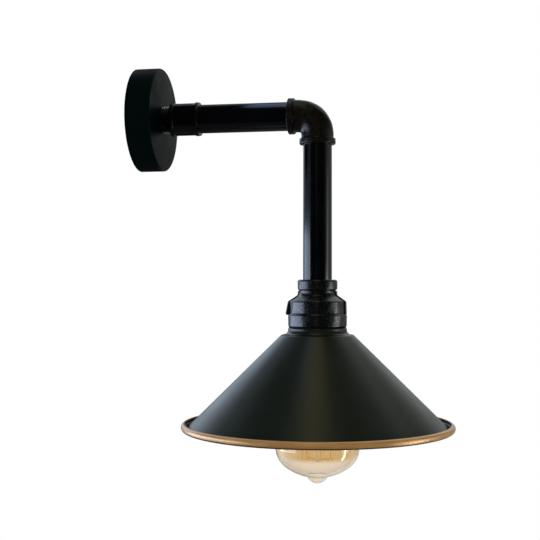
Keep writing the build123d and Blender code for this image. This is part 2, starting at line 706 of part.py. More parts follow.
def glass_lines(wall):
    """Neck, flare, upper globe and side of the glass, from the top down."""
    neck, flare, flare_z, globe, upper, side, lower, bowl, bowl_z = glass_outline(wall)
    Line((neck, cap_rim + CAP_GRIP), (neck, flare_z))
    RadiusArc((neck, flare_z), upper, -flare)
    RadiusArc(upper, (globe, globe_z), globe)
    RadiusArc((globe, globe_z), lower, side)
    return lower, bowl, bowl_z


with BuildPart() as bulb_glass:
    with BuildSketch(drop_plane):
        with BuildLine():
            low, bowl_r, bowl_z = glass_lines(0)
            # A small fillet rolls over both the bowl and the round pip
            pip_z = lamp_tip + PIP_R
            bowl_reach = bowl_r + PIP_FILLET
            pip_reach = PIP_R + PIP_FILLET
            centres = bowl_z - pip_z
            below = (bowl_reach**2 - pip_reach**2 + centres**2) / (2 * centres)
            fillet_x = sqrt(bowl_reach**2 - below**2)
            share = bowl_r / bowl_reach
            root = (fillet_x * share, bowl_z - below * share)
            share = PIP_R / pip_reach
            foot = (fillet_x * share, pip_z - (below - centres) * share)
            RadiusArc(low, root, bowl_r)
            RadiusArc(root, foot, -PIP_FILLET)
            RadiusArc(foot, (0, lamp_tip), PIP_R)
            Line((0, lamp_tip), (0, globe_bottom + GLASS_WALL))
            low, bowl_r, bowl_z = glass_lines(GLASS_WALL)
            RadiusArc(low, (0, globe_bottom + GLASS_WALL), bowl_r)
            rim_z = cap_rim + CAP_GRIP
            Line((GLASS_NECK_OD / 2 - GLASS_WALL, rim_z), (GLASS_NECK_OD / 2, rim_z))
        make_face()
    revolve(axis=drop_axis)
bulb_glass.part.label = "bulb_glass"
export_step(bulb_glass.part, "parts/bulb_glass.step")

# Lamp cap: thin shell with its edge turned in, a glass insulator and the eyelet
insulator_low = cap_shoulder - EYELET_THICK
insulator_top = eyelet_top - EYELET_THICK
cap_lip_r = cap_r - CAP_CURL - CAP_WALL
with BuildPart() as bulb_cap:
    with BuildSketch(drop_plane):
        with BuildLine():
            Polyline(
                (cap_r, cap_rim),
                (cap_r, cap_shoulder - CAP_CURL),
                (cap_r - CAP_CURL, cap_shoulder),
                (cap_lip_r, cap_shoulder),
                (cap_lip_r, cap_shoulder - CAP_WALL),
                (cap_r - CAP_WALL, cap_shoulder - CAP_CURL - CAP_WALL),
                (cap_r - CAP_WALL, cap_rim),
                close=True,
            )
        make_face()
    revolve(axis=drop_axis)
bulb_cap.part.label = "bulb_cap"
export_step(bulb_cap.part, "parts/bulb_cap.step")

insulator_r = cap_lip_r - THREAD_GAP
with BuildPart() as bulb_cap_glass:
    with BuildSketch(drop_plane):
        with BuildLine():
            Polyline(
                (0, insulator_top),
                (EYELET_OD / 2 + CAP_WALL, insulator_top),
                (insulator_r, cap_shoulder),
                (insulator_r, insulator_low),
                (0, insulator_low),
                close=True,
            )
        make_face()
    revolve(axis=drop_axis)
bulb_cap_glass.part.label = "bulb_cap_glass"
export_step(bulb_cap_glass.part, "parts/bulb_cap_glass.step")

with BuildPart() as bulb_eyelet:
    with BuildSketch(Plane.XY.offset(insulator_top)):
        with Locations(drop_centre):
            Circle(EYELET_OD / 2)
    extrude(amount=EYELET_THICK)
    fillet(bulb_eyelet.edges().group_by(Axis.Z)[-1], EYELET_THICK / 2)
bulb_eyelet.part.label = "bulb_eyelet"
export_step(bulb_eyelet.part, "parts/bulb_eyelet.step")

# Stem: flared foot in the neck, a tapering press, and a rod with two buttons for the hooks
foot_r = GLASS_NECK_OD / 2 - GLASS_WALL - HOLE_ROOM
stem_top = cap_rim
stem_press = stem_top - STEM_FOOT
with BuildPart() as bulb_stem:
    with BuildSketch(drop_plane):
        with BuildLine():
            Polyline(
                (0, stem_top),
                (foot_r, stem_top),
                (foot_r, stem_top - GLASS_WALL),
                (BUTTON_OD / 2, stem_press),
                (STEM_ROD_OD / 2, stem_press - BUTTON_OD),
                (STEM_ROD_OD / 2, cage_low),
                (0, cage_low),
                close=True,
            )
        make_face()
    revolve(axis=drop_axis)
    with Locations((ARM_REACH, 0, cage_top), (ARM_REACH, 0, cage_low)):
        Sphere(BUTTON_OD / 2)
bulb_stem.part.label = "bulb_stem"
export_step(bulb_stem.part, "parts/bulb_stem.step")


# Filament: one zigzag wire between the upper and the lower hooks


def cage_point(step, radius, z):
    """Point of the cage, with the step counted in half loops along its spread."""
    angle = radians(step * CAGE_SPREAD / (2 * CAGE_LOOPS) - CAGE_SPREAD / 2 - 90)
    return (ARM_REACH + radius * cos(angle), radius * sin(angle), z)


zigzag = []
for step in range(2 * CAGE_LOOPS + 1):
    top_end = step % 2 == 0
    hook_r = CAGE_TOP_R if top_end else CAGE_LOW_R
    hook_z = cage_top if top_end else cage_low
    hook = Vector(*cage_point(step, hook_r, hook_z))
    along = Vector(*cage_point(step + 1, hook_r, hook_z)) - Vector(*cage_point(step - 1, hook_r, hook_z))
    if step > 0:
        zigzag.append(hook - along.normalized() * (HAIRPIN / 2))
    if step < 2 * CAGE_LOOPS:
        zigzag.append(hook + along.normalized() * (HAIRPIN / 2))
with BuildPart() as filament:
    with BuildLine() as filament_path:
        FilletPolyline(*zigzag, radius=FILAMENT_TURN)
    with BuildSketch(Plane(filament_path.line @ 0, z_dir=filament_path.line % 0)):
        RegularPolygon(FILAMENT_OD / 2, 6)
    sweep(path=filament_path.wires()[0])
filament.part.label = "filament"
export_step(filament.part, "parts/filament.step")
wire_length = filament_path.wires()[0].length
print("filament length", round(wire_length, 1), "volume", round(filament.part.volume, 2))

# Hooks: straight wires from the buttons to each bend of the filament
with BuildPart() as filament_supports:
    for step in range(1, 2 * CAGE_LOOPS):
        low_hook = step % 2 == 1
        hook_z = cage_low if low_hook else cage_top
        hook_r = CAGE_LOW_R if low_hook else CAGE_TOP_R
        inner = cage_point(step, BUTTON_OD / 2, hook_z)
        outer = cage_point(step, hook_r, hook_z)
        hook_way = Vector(*outer) - Vector(*inner)
        hook_plane = Plane(inner, z_dir=hook_way)
        with BuildSketch(hook_plane):
            Circle(SUPPORT_OD / 2)
        extrude(amount=hook_way.length - FILAMENT_OD / 2 - SUPPORT_GAP)
filament_supports.part.label = "filament_supports"
export_step(filament_supports.part, "parts/filament_supports.step")

# Lead wires from the press of the stem to the two ends of the filament
with BuildPart() as bulb_leads:
    for step in (0, 2 * CAGE_LOOPS):
        lead_start = cage_point(step, BUTTON_OD / 2 + SUPPORT_OD, stem_press)
        lead_end = cage_point(step, CAGE_TOP_R, cage_top + FILAMENT_OD)
        lead_way = Vector(*lead_end) - Vector(*lead_start)
        with BuildSketch(Plane(lead_start, z_dir=lead_way)):
            Circle(SUPPORT_OD / 2)
        extrude(amount=lead_way.length)
bulb_leads.part.label = "bulb_leads"
export_step(bulb_leads.part, "parts/bulb_leads.step")

# Terminal block on the wall plate: three towers on a web
block_ways = [BLOCK_PITCH, 0, -BLOCK_PITCH]
block_top = PLATE_THICK + BLOCK_HEIGHT
with BuildPart() as terminal_block:
    with BuildSketch(Plane.YZ.offset(PLATE_THICK)):
        with Locations((block_y, 0)):
            Rectangle(BLOCK_DEPTH, 2 * BLOCK_PITCH + BLOCK_TOWER)
    extrude(amount=BLOCK_WEB)
    with BuildSketch(Plane.YZ.offset(PLATE_THICK)):
        with Locations(*[(block_y, way) for way in block_ways]):
            Rectangle(BLOCK_DEPTH, BLOCK_TOWER)
    extrude(amount=BLOCK_HEIGHT)
    with BuildSketch(Plane.XZ.offset(-block_near)):
        with Locations(*[(block_x, way) for way in block_ways]):
            Circle(BLOCK_TUBE_OD / 2 + THREAD_GAP)
    extrude(amount=-BLOCK_DEPTH, mode=Mode.SUBTRACT)
    with BuildSketch(Plane.YZ.offset(block_top)):
        with Locations((block_y, 0)):
            with GridLocations(BLOCK_SCREW_SPACING, BLOCK_PITCH, 2, 3):
                Circle(BLOCK_SCREW_OD / 2 + HOLE_ROOM)
    extrude(amount=-BLOCK_HEIGHT / 2, mode=Mode.SUBTRACT)
    with BuildSketch(Plane.YZ.offset(PLATE_THICK)):
        with Locations((block_y, BLOCK_PITCH / 2)):
            Circle(FIX_SCREW_OD / 2 + THREAD_GAP)
    extrude(amount=BLOCK_WEB, mode=Mode.SUBTRACT)
terminal_block.part.label = "terminal_block"
export_step(terminal_block.part, "parts/terminal_block.step")

with BuildPart() as terminal_tubes:
    with BuildSketch(Plane.XZ.offset(-block_y + BLOCK_TUBE_LENGTH / 2)):
        with Locations(*[(block_x, way) for way in block_ways]):
            Circle(BLOCK_TUBE_OD / 2)
            Circle(BLOCK_TUBE_BORE / 2, mode=Mode.SUBTRACT)
    extrude(amount=-BLOCK_TUBE_LENGTH)
    with BuildSketch(Plane.YZ.offset(block_x + BLOCK_TUBE_OD / 2)):
        with Locations((block_y, 0)):
            with GridLocations(BLOCK_SCREW_SPACING, BLOCK_PITCH, 2, 3):
                Circle(BLOCK_SCREW_OD / 2 + THREAD_GAP)
    extrude(amount=-BLOCK_TUBE_OD / 2, mode=Mode.SUBTRACT)
terminal_tubes.part.label = "terminal_tubes"
export_step(terminal_tubes.part, "parts/terminal_tubes.step")

with BuildPart() as terminal_screws:
    with BuildSketch(Plane.YZ.offset(block_x + CORE_OD / 2 + THREAD_GAP)):
        with Locations((block_y, 0)):
            with GridLocations(BLOCK_SCREW_SPACING, BLOCK_PITCH, 2, 3):
                Circle(BLOCK_SCREW_OD / 2)
    extrude(amount=BLOCK_HEIGHT / 2 - CORE_OD)
terminal_screws.part.label = "terminal_screws"
export_step(terminal_screws.part, "parts/terminal_screws.step")

with BuildPart() as block_screw:
    with BuildSketch(Plane.YZ.offset(SCREW_TIP_ROOM)):
        with Locations((block_y, BLOCK_PITCH / 2)):
            Circle(FIX_SCREW_OD / 2)
    extrude(amount=PLATE_THICK + BLOCK_WEB - SCREW_TIP_ROOM)
    with BuildSketch(Plane.YZ.offset(PLATE_THICK + BLOCK_WEB)):
        with Locations((block_y, BLOCK_PITCH / 2)):
            Circle(FIX_SCREW_HEAD_OD / 2)
    extrude(amount=FIX_SCREW_HEAD)
block_screw.part.label = "block_screw"
export_step(block_screw.part, "parts/block_screw.step")

# Earth screw, the tag under its head, and the lead to the third way of the block
with BuildPart() as earth_screw:
    with BuildSketch(Plane.YZ.offset(SCREW_TIP_ROOM)):
        with Locations((earth_y, 0)):
            Circle(EARTH_SCREW_OD / 2)
    extrude(amount=earth_x + TAG_THICK - SCREW_TIP_ROOM)
    with BuildSketch(Plane.YZ.offset(earth_x + TAG_THICK)):
        with Locations((earth_y, 0)):
            Circle(EARTH_HEAD_OD / 2)
    extrude(amount=EARTH_HEAD)
earth_screw.part.label = "earth_screw"
export_step(earth_screw.part, "parts/earth_screw.step")

tag_barrel_y = earth_y + EARTH_BOSS_OD / 2 + TAG_BARREL_OD
tag_barrel_x = earth_x + TAG_BARREL_OD / 2
with BuildPart() as earth_tag:
    with BuildSketch(Plane.YZ.offset(earth_x)):
        with Locations((earth_y, 0)):
            Circle(EARTH_BOSS_OD / 2)
        with Locations((earth_y + EARTH_BOSS_OD / 2, 0)):
            Rectangle(2 * TAG_BARREL_OD, TAG_BARREL_OD)
        with Locations((earth_y, 0)):
            Circle(EARTH_SCREW_OD / 2 + THREAD_GAP, mode=Mode.SUBTRACT)
    extrude(amount=TAG_THICK)
    with BuildSketch(Plane.XZ.offset(-tag_barrel_y)):
        with Locations((tag_barrel_x, 0)):
            Circle(TAG_BARREL_OD / 2)
    extrude(amount=-TAG_BARREL)
    with BuildSketch(Plane.XZ.offset(-tag_barrel_y + TAG_BARREL_OD / 4)):
        with Locations((tag_barrel_x, 0)):
            Rectangle(TAG_BARREL_OD, TAG_BARREL_OD)
    extrude(amount=-TAG_BARREL_OD / 4)
earth_tag.part.label = "earth_tag"
export_step(earth_tag.part, "parts/earth_tag.step")

block_mouth = block_y - BLOCK_TUBE_LENGTH / 2
earth_route = [
    (block_x, block_mouth + CORE_GRIP, -BLOCK_PITCH),
    (block_x, block_mouth - EARTH_RUN, -BLOCK_PITCH),
    (tag_barrel_x, tag_barrel_y + TAG_BARREL + EARTH_RUN, 0),
    (tag_barrel_x, tag_barrel_y + TAG_BARREL, 0),
]
with BuildPart() as earth_lead:
    with BuildLine() as earth_path:
        FilletPolyline(*earth_route, radius=CORE_BEND)
    with BuildSketch(Plane(earth_path.line @ 0, z_dir=earth_path.line % 0)):
        Circle(CORE_OD / 2)
    sweep(path=earth_path.wires()[0])
earth_lead.part.label = "earth_lead"
export_step(earth_lead.part, "parts/earth_lead.step")

# Flex inside the pipes: sheath from the nipple to the holder, and its two cores at each end
flex_start = nipple_start + FLEX_LEAD_IN
flex_end = cavity_top - FLEX_TAIL
with BuildPart() as flex_sheath:
    with BuildLine() as flex_path:
        FilletPolyline(
            (flex_start, 0, 0),
            (ARM_REACH, 0, 0),
            (ARM_REACH, 0, flex_end),
            radius=FLEX_BEND,
        )
    with BuildSketch(Plane.YZ.offset(flex_start)):
        Circle(FLEX_OD / 2)
    sweep(path=flex_path.wires()[0])
flex_sheath.part.label = "flex_sheath"
export_step(flex_sheath.part, "parts/flex_sheath.step")

core_routes = []
for side, way in ((1, BLOCK_PITCH), (-1, 0)):
    core_routes.append(
        [
            (flex_start, 0, side * CORE_OFFSET),
            (block_x + CORE_OD, 0, side * CORE_OFFSET),
            (block_x, block_mouth - CORE_RUN, way),
            (block_x, block_mouth + CORE_GRIP, way),
        ]
    )
for side in (1, -1):
    core_routes.append(
        [
            (ARM_REACH + side * CORE_OFFSET, 0, flex_end),
            (ARM_REACH + side * CORE_OFFSET, 0, flex_end - CORE_DROP),
            (ARM_REACH + side * TERMINAL_OFFSET, 0, terminal_top + CORE_DROP),
            (ARM_REACH + side * TERMINAL_OFFSET, 0, terminal_top - CORE_GRIP),
        ]
    )
with BuildPart() as flex_cores:
    for route in core_routes:
        with BuildLine() as core_path:
            FilletPolyline(*route, radius=CORE_BEND)
        with BuildSketch(Plane(core_path.line @ 0, z_dir=core_path.line % 0)):
            Circle(CORE_OD / 2)
        sweep(path=core_path.wires()[0])
flex_cores.part.label = "flex_cores"
export_step(flex_cores.part, "parts/flex_cores.step")
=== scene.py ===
"""Looks of a pipe wall light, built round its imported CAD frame.

The file is laid out as an add-on and is run as a script. Lengths in the shapes are millimetres
until a mesh is made, because the frame is in metres.
"""

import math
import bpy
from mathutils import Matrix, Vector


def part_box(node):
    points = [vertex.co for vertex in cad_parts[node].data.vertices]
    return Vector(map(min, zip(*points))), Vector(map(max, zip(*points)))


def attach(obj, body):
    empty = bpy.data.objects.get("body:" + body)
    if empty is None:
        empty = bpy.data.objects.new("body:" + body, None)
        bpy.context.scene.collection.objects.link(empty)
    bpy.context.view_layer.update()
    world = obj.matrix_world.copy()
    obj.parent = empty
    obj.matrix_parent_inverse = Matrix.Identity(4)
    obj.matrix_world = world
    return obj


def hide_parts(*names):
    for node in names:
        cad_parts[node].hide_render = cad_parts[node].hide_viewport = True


bl_info = {
    "name": "Pipe wall light",
    "version": (1, 0, 0),
    "blender": (4, 5, 0),
    "location": "3D View > Sidebar > Pipe light",
    "description": "Surfaces, finishes and studio of a pipe wall light with a cone shade",
    "category": "Object",
}

import bmesh
import bpy
import numpy as np

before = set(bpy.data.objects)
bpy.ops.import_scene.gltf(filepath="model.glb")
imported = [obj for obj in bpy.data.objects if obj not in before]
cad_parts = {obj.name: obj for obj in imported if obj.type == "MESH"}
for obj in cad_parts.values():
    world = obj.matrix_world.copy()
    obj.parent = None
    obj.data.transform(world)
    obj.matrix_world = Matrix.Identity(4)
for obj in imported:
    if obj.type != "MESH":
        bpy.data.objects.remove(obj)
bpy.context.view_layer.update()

MM = 0.001
TURN = 2 * math.pi
PICTURE = 540.0  # pixels along each side of the picture
SENSOR = 36.0  # width of the camera's sensor in mm
GRID_WELD, CAD_WELD = 1e-7, 2e-6  # metres within which points of a new mesh or a CAD node are one
GRID_CORNER, CAD_CORNER = math.radians(50), math.radians(25)  # turns above which their edges are sharp


def node_box(node):
    """Lowest and highest corners of a CAD node in millimetres."""
    low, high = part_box(node)
    return np.array(low) / MM, np.array(high) / MM


# Places that the frame gives
GLASS_LOW, GLASS_HIGH = node_box("bulb_glass")
CAP_LOW, CAP_HIGH = node_box("bulb_cap")
SHADE_LOW, SHADE_HIGH = node_box("shade")
NIPPLE_LOW, NIPPLE_HIGH = node_box("wall_nipple")
SOCKET_LOW, SOCKET_HIGH = node_box("reducing_socket")
PIPE_LOW, PIPE_HIGH = node_box("drop_pipe")
ELBOW_LOW = node_box("pipe_elbow")[0]
REACH = float(PIPE_LOW[0] + PIPE_HIGH[0]) / 2  # wall to the axis of the drop
RIM = SHADE_HIGH[0] - REACH  # outer radius of the shade's rim


def hex_linear(code):
    """Linear red, green, blue and alpha of an sRGB hex colour."""
    parts = [int(code[i : i + 2], 16) / 255 for i in (1, 3, 5)]
    return tuple(c / 12.92 if c <= 0.04045 else ((c + 0.055) / 1.055) ** 2.4 for c in parts) + (1.0,)


def colour(name, code, words):
    """Colour property with an sRGB hex default."""
    kind = {"subtype": "COLOR", "size": 4, "min": 0.0, "max": 1.0}
    return bpy.props.FloatVectorProperty(name=name, description=words, default=hex_linear(code), **kind)


def number(name, value, words, **kind):
    """Number property with a default, whose kind is its unit or subtype and its limits."""
    return bpy.props.FloatProperty(name=name, description=words, default=value, **kind)


def length(name, millimetres, words):
    """Length property with a default in millimetres."""
    return number(name, millimetres * MM, words, precision=5, unit="LENGTH")


def watts(name, power, words):
    """Power property of a soft light."""
    return number(name, power, words, min=0.0, unit="POWER")


class PIPELIGHT_PG_sizes(bpy.types.PropertyGroup):
    """Sizes of the looks that aren't in the frame."""

    thread_pitch: length("Pipe thread pitch", 1.814, "Pitch of the open thread on the wall nipple")
    thread_depth: length("Pipe thread depth", 1.1, "Crest to root of the open thread on the wall nipple")
    cap_pitch: length("Lamp thread pitch", 3.629, "Pitch of the rolled thread on the lamp cap")
    cap_depth: length("Lamp thread depth", 0.9, "Crest to root of the rolled thread on the lamp cap")
    cast_lumps: length("Casting lumps", 0.1, "How far the sand-cast skins wander from their true shape")
    spin_lines: length("Spinning lines", 1.4, "Distance of the tool lines in the spun lining")
    sheet: length("Shade sheet", 1.0, "Thickness of the sheet that the shade is spun from")
    glass_wall: length("Glass wall", 0.8, "Wall of the blown globe")
    # The amber zone above this edge is a painted reflection of the shade's brass lining
    amber_edge: length("Amber edge", 23.6, "Height above the globe's tip at which the amber begins")
    amber_fade: length("Amber fade", 6.0, "Height over which the amber comes in")


class PIPELIGHT_PG_finishes(bpy.types.PropertyGroup):
    """Colours of the finishes."""

    rose: colour("Rose coat", "#02090a", "Powder coat of the wall rose")
    pipe: colour("Pipe enamel", "#030406", "Enamel of the pipes and the coupling")
    elbow: colour("Elbow casting", "#0c0906", "Browned black of the cast elbow")
    socket: colour("Socket casting", "#06080a", "Black of the cast reducing socket")
    shade: colour("Shade enamel", "#0f160f", "Enamel on the outside of the shade")
    lining: colour("Shade lining", "#b88d55", "Brass-coloured lining of the shade")
    # Painted shade: the dark line low on the rim stands in for the shaded underside of the bead
    painted_rim_shade: colour("Rim line", "#20140a", "Browned line of the lining, low on the rim")
    glass: colour("Globe glass", "#f9efe0", "Pale tint of the globe's lower part")
    # Colour of the painted reflection of the brass lining in the globe's upper part
    amber: colour("Globe amber", "#dcbf8c", "Amber tint of the globe's upper part")
    # Painted light: the filament is drawn pale and glowing though the lamp is off, so that it shows light
    # in the amber
    filament: colour("Filament", "#ffd9b0", "Wire of the filament")
    glow: colour("Filament glow", "#ffb98c", "Faint glow of the filament")


class PIPELIGHT_PG_studio(bpy.types.PropertyGroup):
    """Camera and light of the studio."""

    lens: number("Lens", 69.9, "Focal length on a sensor 36 mm wide", unit="CAMERA")
    azimuth: number("Azimuth", math.radians(10.826), "Turn of the camera to the room side", subtype="ANGLE")
    distance: length("Distance", 1000.5, "Camera to the plane of the drop pipe")
    height: length("Height", -161.6, "Camera above the axis of the level pipe")
    column: number("Column", 317.475, "Column of the drop pipe's axis in the picture", subtype="PIXEL")
    horizon: number("Horizon", 285.0, "Row of the horizon in the picture", subtype="PIXEL")
    side_light: watts("Side light", 6.4, "Power of the large soft light on the wall side")
    room_light: watts("Room light", 1.0, "Power of the strip light on the room side")
    top_light: watts("Top light", 0.79, "Power of the dim warm panel overhead")
    card_light: watts("Arm card", 0.09, "Power of the small cool card over the level pipe")
    window_light: watts("Low window", 0.9, "Power of the small light that the globe reflects")
    fill_light: watts("Front fill", 14.0, "Power of the front light, which doesn't show in reflections")
    ambient: number("Ambient", 0.35, "Level of the light from all round", min=0.0, subtype="FACTOR")


class PIPELIGHT_PG_settings(bpy.types.PropertyGroup):
    """All the settings of the wall light."""

    sizes: bpy.props.PointerProperty(type=PIPELIGHT_PG_sizes)
    finishes: bpy.props.PointerProperty(type=PIPELIGHT_PG_finishes)
    studio: bpy.props.PointerProperty(type=PIPELIGHT_PG_studio)


# Shapes


def full_turn(columns):
    """Row of evenly spaced angles round a full turn."""
    return np.linspace(0, TURN, columns, endpoint=False)[None]


def heading(start, end):
    """Direction from one point (a, b) to another in degrees."""
    return math.degrees(math.atan2(end[1] - start[1], end[0] - start[0]))


def arc(centre, radius, start, end):
    """Points (a, b) on a circle from one angle to another in degrees, one for every 3 degrees."""
    angle = np.radians(np.linspace(start, end, max(3, math.ceil(abs(end - start) / 3) + 1)))
    return np.stack([centre[0] + radius * np.cos(angle), centre[1] + radius * np.sin(angle)], 1)


def rounded(corners, longest, closed=False):
    """Line through corners (a, b, radius), each rounded by an arc that touches its two runs.

    A corner with turn t and radius r takes r * tan(t / 2) from both runs and gets one point for
    every 9 degrees. A run gets a point close to each end, which keeps its shading flat, and no
    two points on it are further apart than the longest step.
    """
    points = np.array([c[:2] for c in corners], float)
    radii = [c[2] if len(c) > 2 else 0.0 for c in corners]
    count = len(points)
    arcs = []
    for i in range(count):
        if radii[i] <= 0 or not (closed or 0 < i < count - 1):
            arcs.append(points[i][None])
            continue
        back = points[i - 1] - points[i]
        on = points[(i + 1) % count] - points[i]
        back = back / np.hypot(*back)
        on = on / np.hypot(*on)
        turn = math.pi - math.acos(np.clip(back @ on, -1, 1))
        middle = (back + on) / np.hypot(*(back + on))
        across = (on - back) / np.hypot(*(on - back))
        centre = points[i] + middle * radii[i] / math.cos(turn / 2)
        steps = max(3, math.ceil(math.degrees(turn) / 9))
        sweep = np.linspace(-turn / 2, turn / 2, steps + 1)[:, None]
        arcs.append(centre + radii[i] * (np.sin(sweep) * across - np.cos(sweep) * middle))
    line = []
    shortest, nearest = 0.05, 0.25
    for i in range(count):
        line.append(arcs[i])
        if i == count - 1 and not closed:
            break
        start = arcs[i][-1]
        end = arcs[(i + 1) % count][0]
        run = np.hypot(*(end - start))
        if run > shortest:
            close = min(nearest, run / 4)
            inside = np.linspace(close, run - close, max(2, math.ceil(run / longest)))
            line.append(start + (end - start) * (inside / run)[:, None])
    return np.concatenate(line)


def beside(line, distance):
    """Line at a distance to the right of a line (a, b), along the normals of its points."""
    way = np.gradient(line, axis=0)
    way = way / np.hypot(way[:, 0], way[:, 1])[:, None]
    return line + distance * np.stack([way[:, 1], -way[:, 0]], 1)


def turned(radius, height, angle):
    """Grid of points at their radius, height and angle round the axis of the drop."""
    return np.stack([REACH + radius * np.cos(angle), radius * np.sin(angle), height + 0 * angle], -1)


def lathe(profile, columns):
    """Grid of a profile (radius, height) turned round the axis of the drop."""
    return turned(profile[:, :1], profile[:, 1:], full_turn(columns))


def helix_wave(along, angle, pitch):
    """Wave from 0 to 1, highest on a right-hand helix, whose phase is along / pitch less angle / turn."""
    return 0.5 + 0.5 * np.cos(TURN * (along / pitch - angle / TURN))


def wander(points, seed, height):
    """Height of gentle lumps at points: a sum of sine waves, 7 to 16 mm long, in random directions."""
    count, shortest, longest = 14, 7.0, 16.0
    draw = np.random.default_rng(seed)
    ways = draw.normal(size=(count, 3))
    ways = ways / np.linalg.norm(ways, axis=1)[:, None]
    lengths = draw.uniform(shortest, longest, count)
    starts = draw.uniform(0, TURN, count)
    waves = np.sin(TURN * (points @ ways.T) / lengths + starts)
    return height * waves.sum(-1) / math.sqrt(count)


def grid_mesh(name, grid, rows_join, second=None):
    """Mesh of quads over a grid of points in mm (rows, columns, 3), whose columns join up.

    Joined rows run on from the last to the first. Points that fall together, as at a pole, are
    merged, and a surface whose enclosed volume comes out negative is turned outwards. Rows marked
    in second take the second material.
    """
    rows, columns = grid.shape[:2]
    index = np.arange(rows * columns).reshape(rows, columns)
    index = np.hstack([index, index[:, :1]])
    if rows_join:
        index = np.vstack([index, index[:1]])
    quads = np.stack([index[:-1, :-1], index[:-1, 1:], index[1:, 1:], index[1:, :-1]], -1)
    kinds = np.zeros(quads.shape[:2], np.int32)
    if second is not None:
        kinds[:] = np.asarray(second, np.int32)[: len(kinds), None]
    quads = quads.reshape(-1, 4)
    points = grid.reshape(-1, 3) * MM
    a, b, c, d = (points[quads[:, k]] for k in range(4))
    volume = np.einsum("ij,ij->", a, np.cross(b, c)) + np.einsum("ij,ij->", a, np.cross(c, d))
    if volume < 0:
        quads = quads[:, ::-1]
    mesh = bpy.data.meshes.new(name)
    mesh.from_pydata(points, [], quads)
    mesh.polygons.foreach_set("material_index", kinds.ravel())
    shape = bmesh.new()
    shape.from_mesh(mesh)
    bmesh.ops.remove_doubles(shape, verts=shape.verts, dist=GRID_WELD)
    shape.to_mesh(mesh)
    shape.free()
    mesh.shade_smooth()
    mesh.set_sharp_from_angle(angle=GRID_CORNER)
    return mesh


def place(name, mesh, body, nodes, finishes):
    """Object of a new piece: its finishes, its body and the CAD nodes it stands for."""
    piece = bpy.data.objects.new(name, mesh)
    bpy.context.scene.collection.objects.link(piece)
    for one in finishes:
        mesh.materials.append(bpy.data.materials[one])
    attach(piece, body)
    if nodes:
        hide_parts(*nodes)


# Finishes

NOISE_LOW, NOISE_HIGH = 0.35, 0.65  # most values of a noise lie between these

# Finishes of small fittings: name, colour, size of the cloudiness in mm, lowest and highest roughness
SMALL_METALS = (
    ("black_oxide_steel", "#18181a", 3.0, (0.35, 0.5)),
    ("zinc_plated_steel", "#b9bbb8", 8.0, (0.28, 0.42)),
    ("stamped_brass", "#c9a660", 6.0, (0.22, 0.36)),
    ("tinned_solder", "#9a9b9c", 2.5, (0.3, 0.5)),
)
SMALL_MOULDINGS = (
    # Support wires are near white, lighter than their real grey: painted light, so they show as light as
    # the globe behind them
    ("fired_support_wire", "#faf0e0", 1.5, (0.5, 0.6)),
    ("moulded_phenolic", "#0b0b0c", 7.0, (0.35, 0.48)),
    ("glazed_ceramic", "#e6e2d8", 6.0, (0.2, 0.34)),
    ("black_glass_frit", "#08080a", 3.0, (0.08, 0.16)),
    ("white_polyamide", "#dfddd5", 5.0, (0.45, 0.58)),
    ("green_pvc", "#3e7a2c", 3.0, (0.4, 0.52)),
    ("black_pvc", "#0d0d0e", 4.0, (0.42, 0.55)),
    ("brown_pvc", "#4d2a16", 3.0, (0.4, 0.52)),
)


def add(tree, kind, sockets=None, **settings):
    """Adds one node: settings are its own values, and sockets give inputs a value or a link.

    A link comes from a socket, or from the first output of a node.
    """
    made = tree.nodes.new(kind)
    for name, value in settings.items():
        setattr(made, name, value)
    for key, value in (sockets or {}).items():
        if isinstance(value, bpy.types.Node):
            value = value.outputs[0]
        if isinstance(value, bpy.types.NodeSocket):
            tree.links.new(value, made.inputs[key])
        else:
            made.inputs[key].default_value = value
    return made


def begin(name, sockets):
    """New finish with one shader: its tree, the shader and the object's coordinates."""
    made = bpy.data.materials.new(name)
    made.use_nodes = True
    tree = made.node_tree
    tree.nodes.clear()
    shader = add(tree, "ShaderNodeBsdfPrincipled", sockets)
    add(tree, "ShaderNodeOutputMaterial", {"Surface": shader})
    return tree, shader, add(tree, "ShaderNodeTexCoord").outputs["Object"]


def lay_over(tree, shader, share, other):
    """Lays another shader over a finish's own, by a share from 0 to 1."""
    out = next(node for node in tree.nodes if node.type == "OUTPUT_MATERIAL")
    mix = add(tree, "ShaderNodeMixShader", {0: share, 1: shader, 2: other})
    tree.links.new(mix.outputs[0], out.inputs["Surface"])


def seen_straight(tree):
    """Share that is 1 for what the camera sees, straight or through glass, and 0 otherwise."""
    ray = add(tree, "ShaderNodeLightPath")
    either = {0: ray.outputs["Is Camera Ray"], 1: ray.outputs["Is Transmission Ray"]}
    return add(tree, "ShaderNodeMath", either, operation="MAXIMUM")


def falloff(tree, slopes, total=None):
    """Product of smooth steps, and of a first number if one is given.

    A slope is a value, the two places where its step starts and ends, and the levels there, which
    are 0 and 1 if none are given.
    """
    for value, start, end, *levels in slopes:
        low, high = levels or (0.0, 1.0)
        ends = {"From Min": start, "From Max": end, "To Min": low, "To Max": high}
        step = add(tree, "ShaderNodeMapRange", {"Value": value, **ends}, interpolation_type="SMOOTHSTEP")
        if total is not None:
            step = add(tree, "ShaderNodeMath", {0: total, 1: step}, operation="MULTIPLY")
        total = step
    return total


def grain(finish, layers, strength):
    """Bump from noises (size, height), both in mm, added together."""
    tree, shader, at = finish
    total = None
    for size, tall in layers:
        noise = add(tree, "ShaderNodeTexNoise", {"Vector": at, "Scale": 1 / (size * MM), "Detail": 3.0})
        high = add(tree, "ShaderNodeMath", {0: noise, 1: tall * MM}, operation="MULTIPLY")
        if total is not None:
            high = add(tree, "ShaderNodeMath", {0: total, 1: high}, operation="ADD")
        total = high
    bump = add(tree, "ShaderNodeBump", {"Strength": strength, "Distance": 1.0, "Height": total})
    tree.links.new(bump.outputs[0], shader.inputs["Normal"])


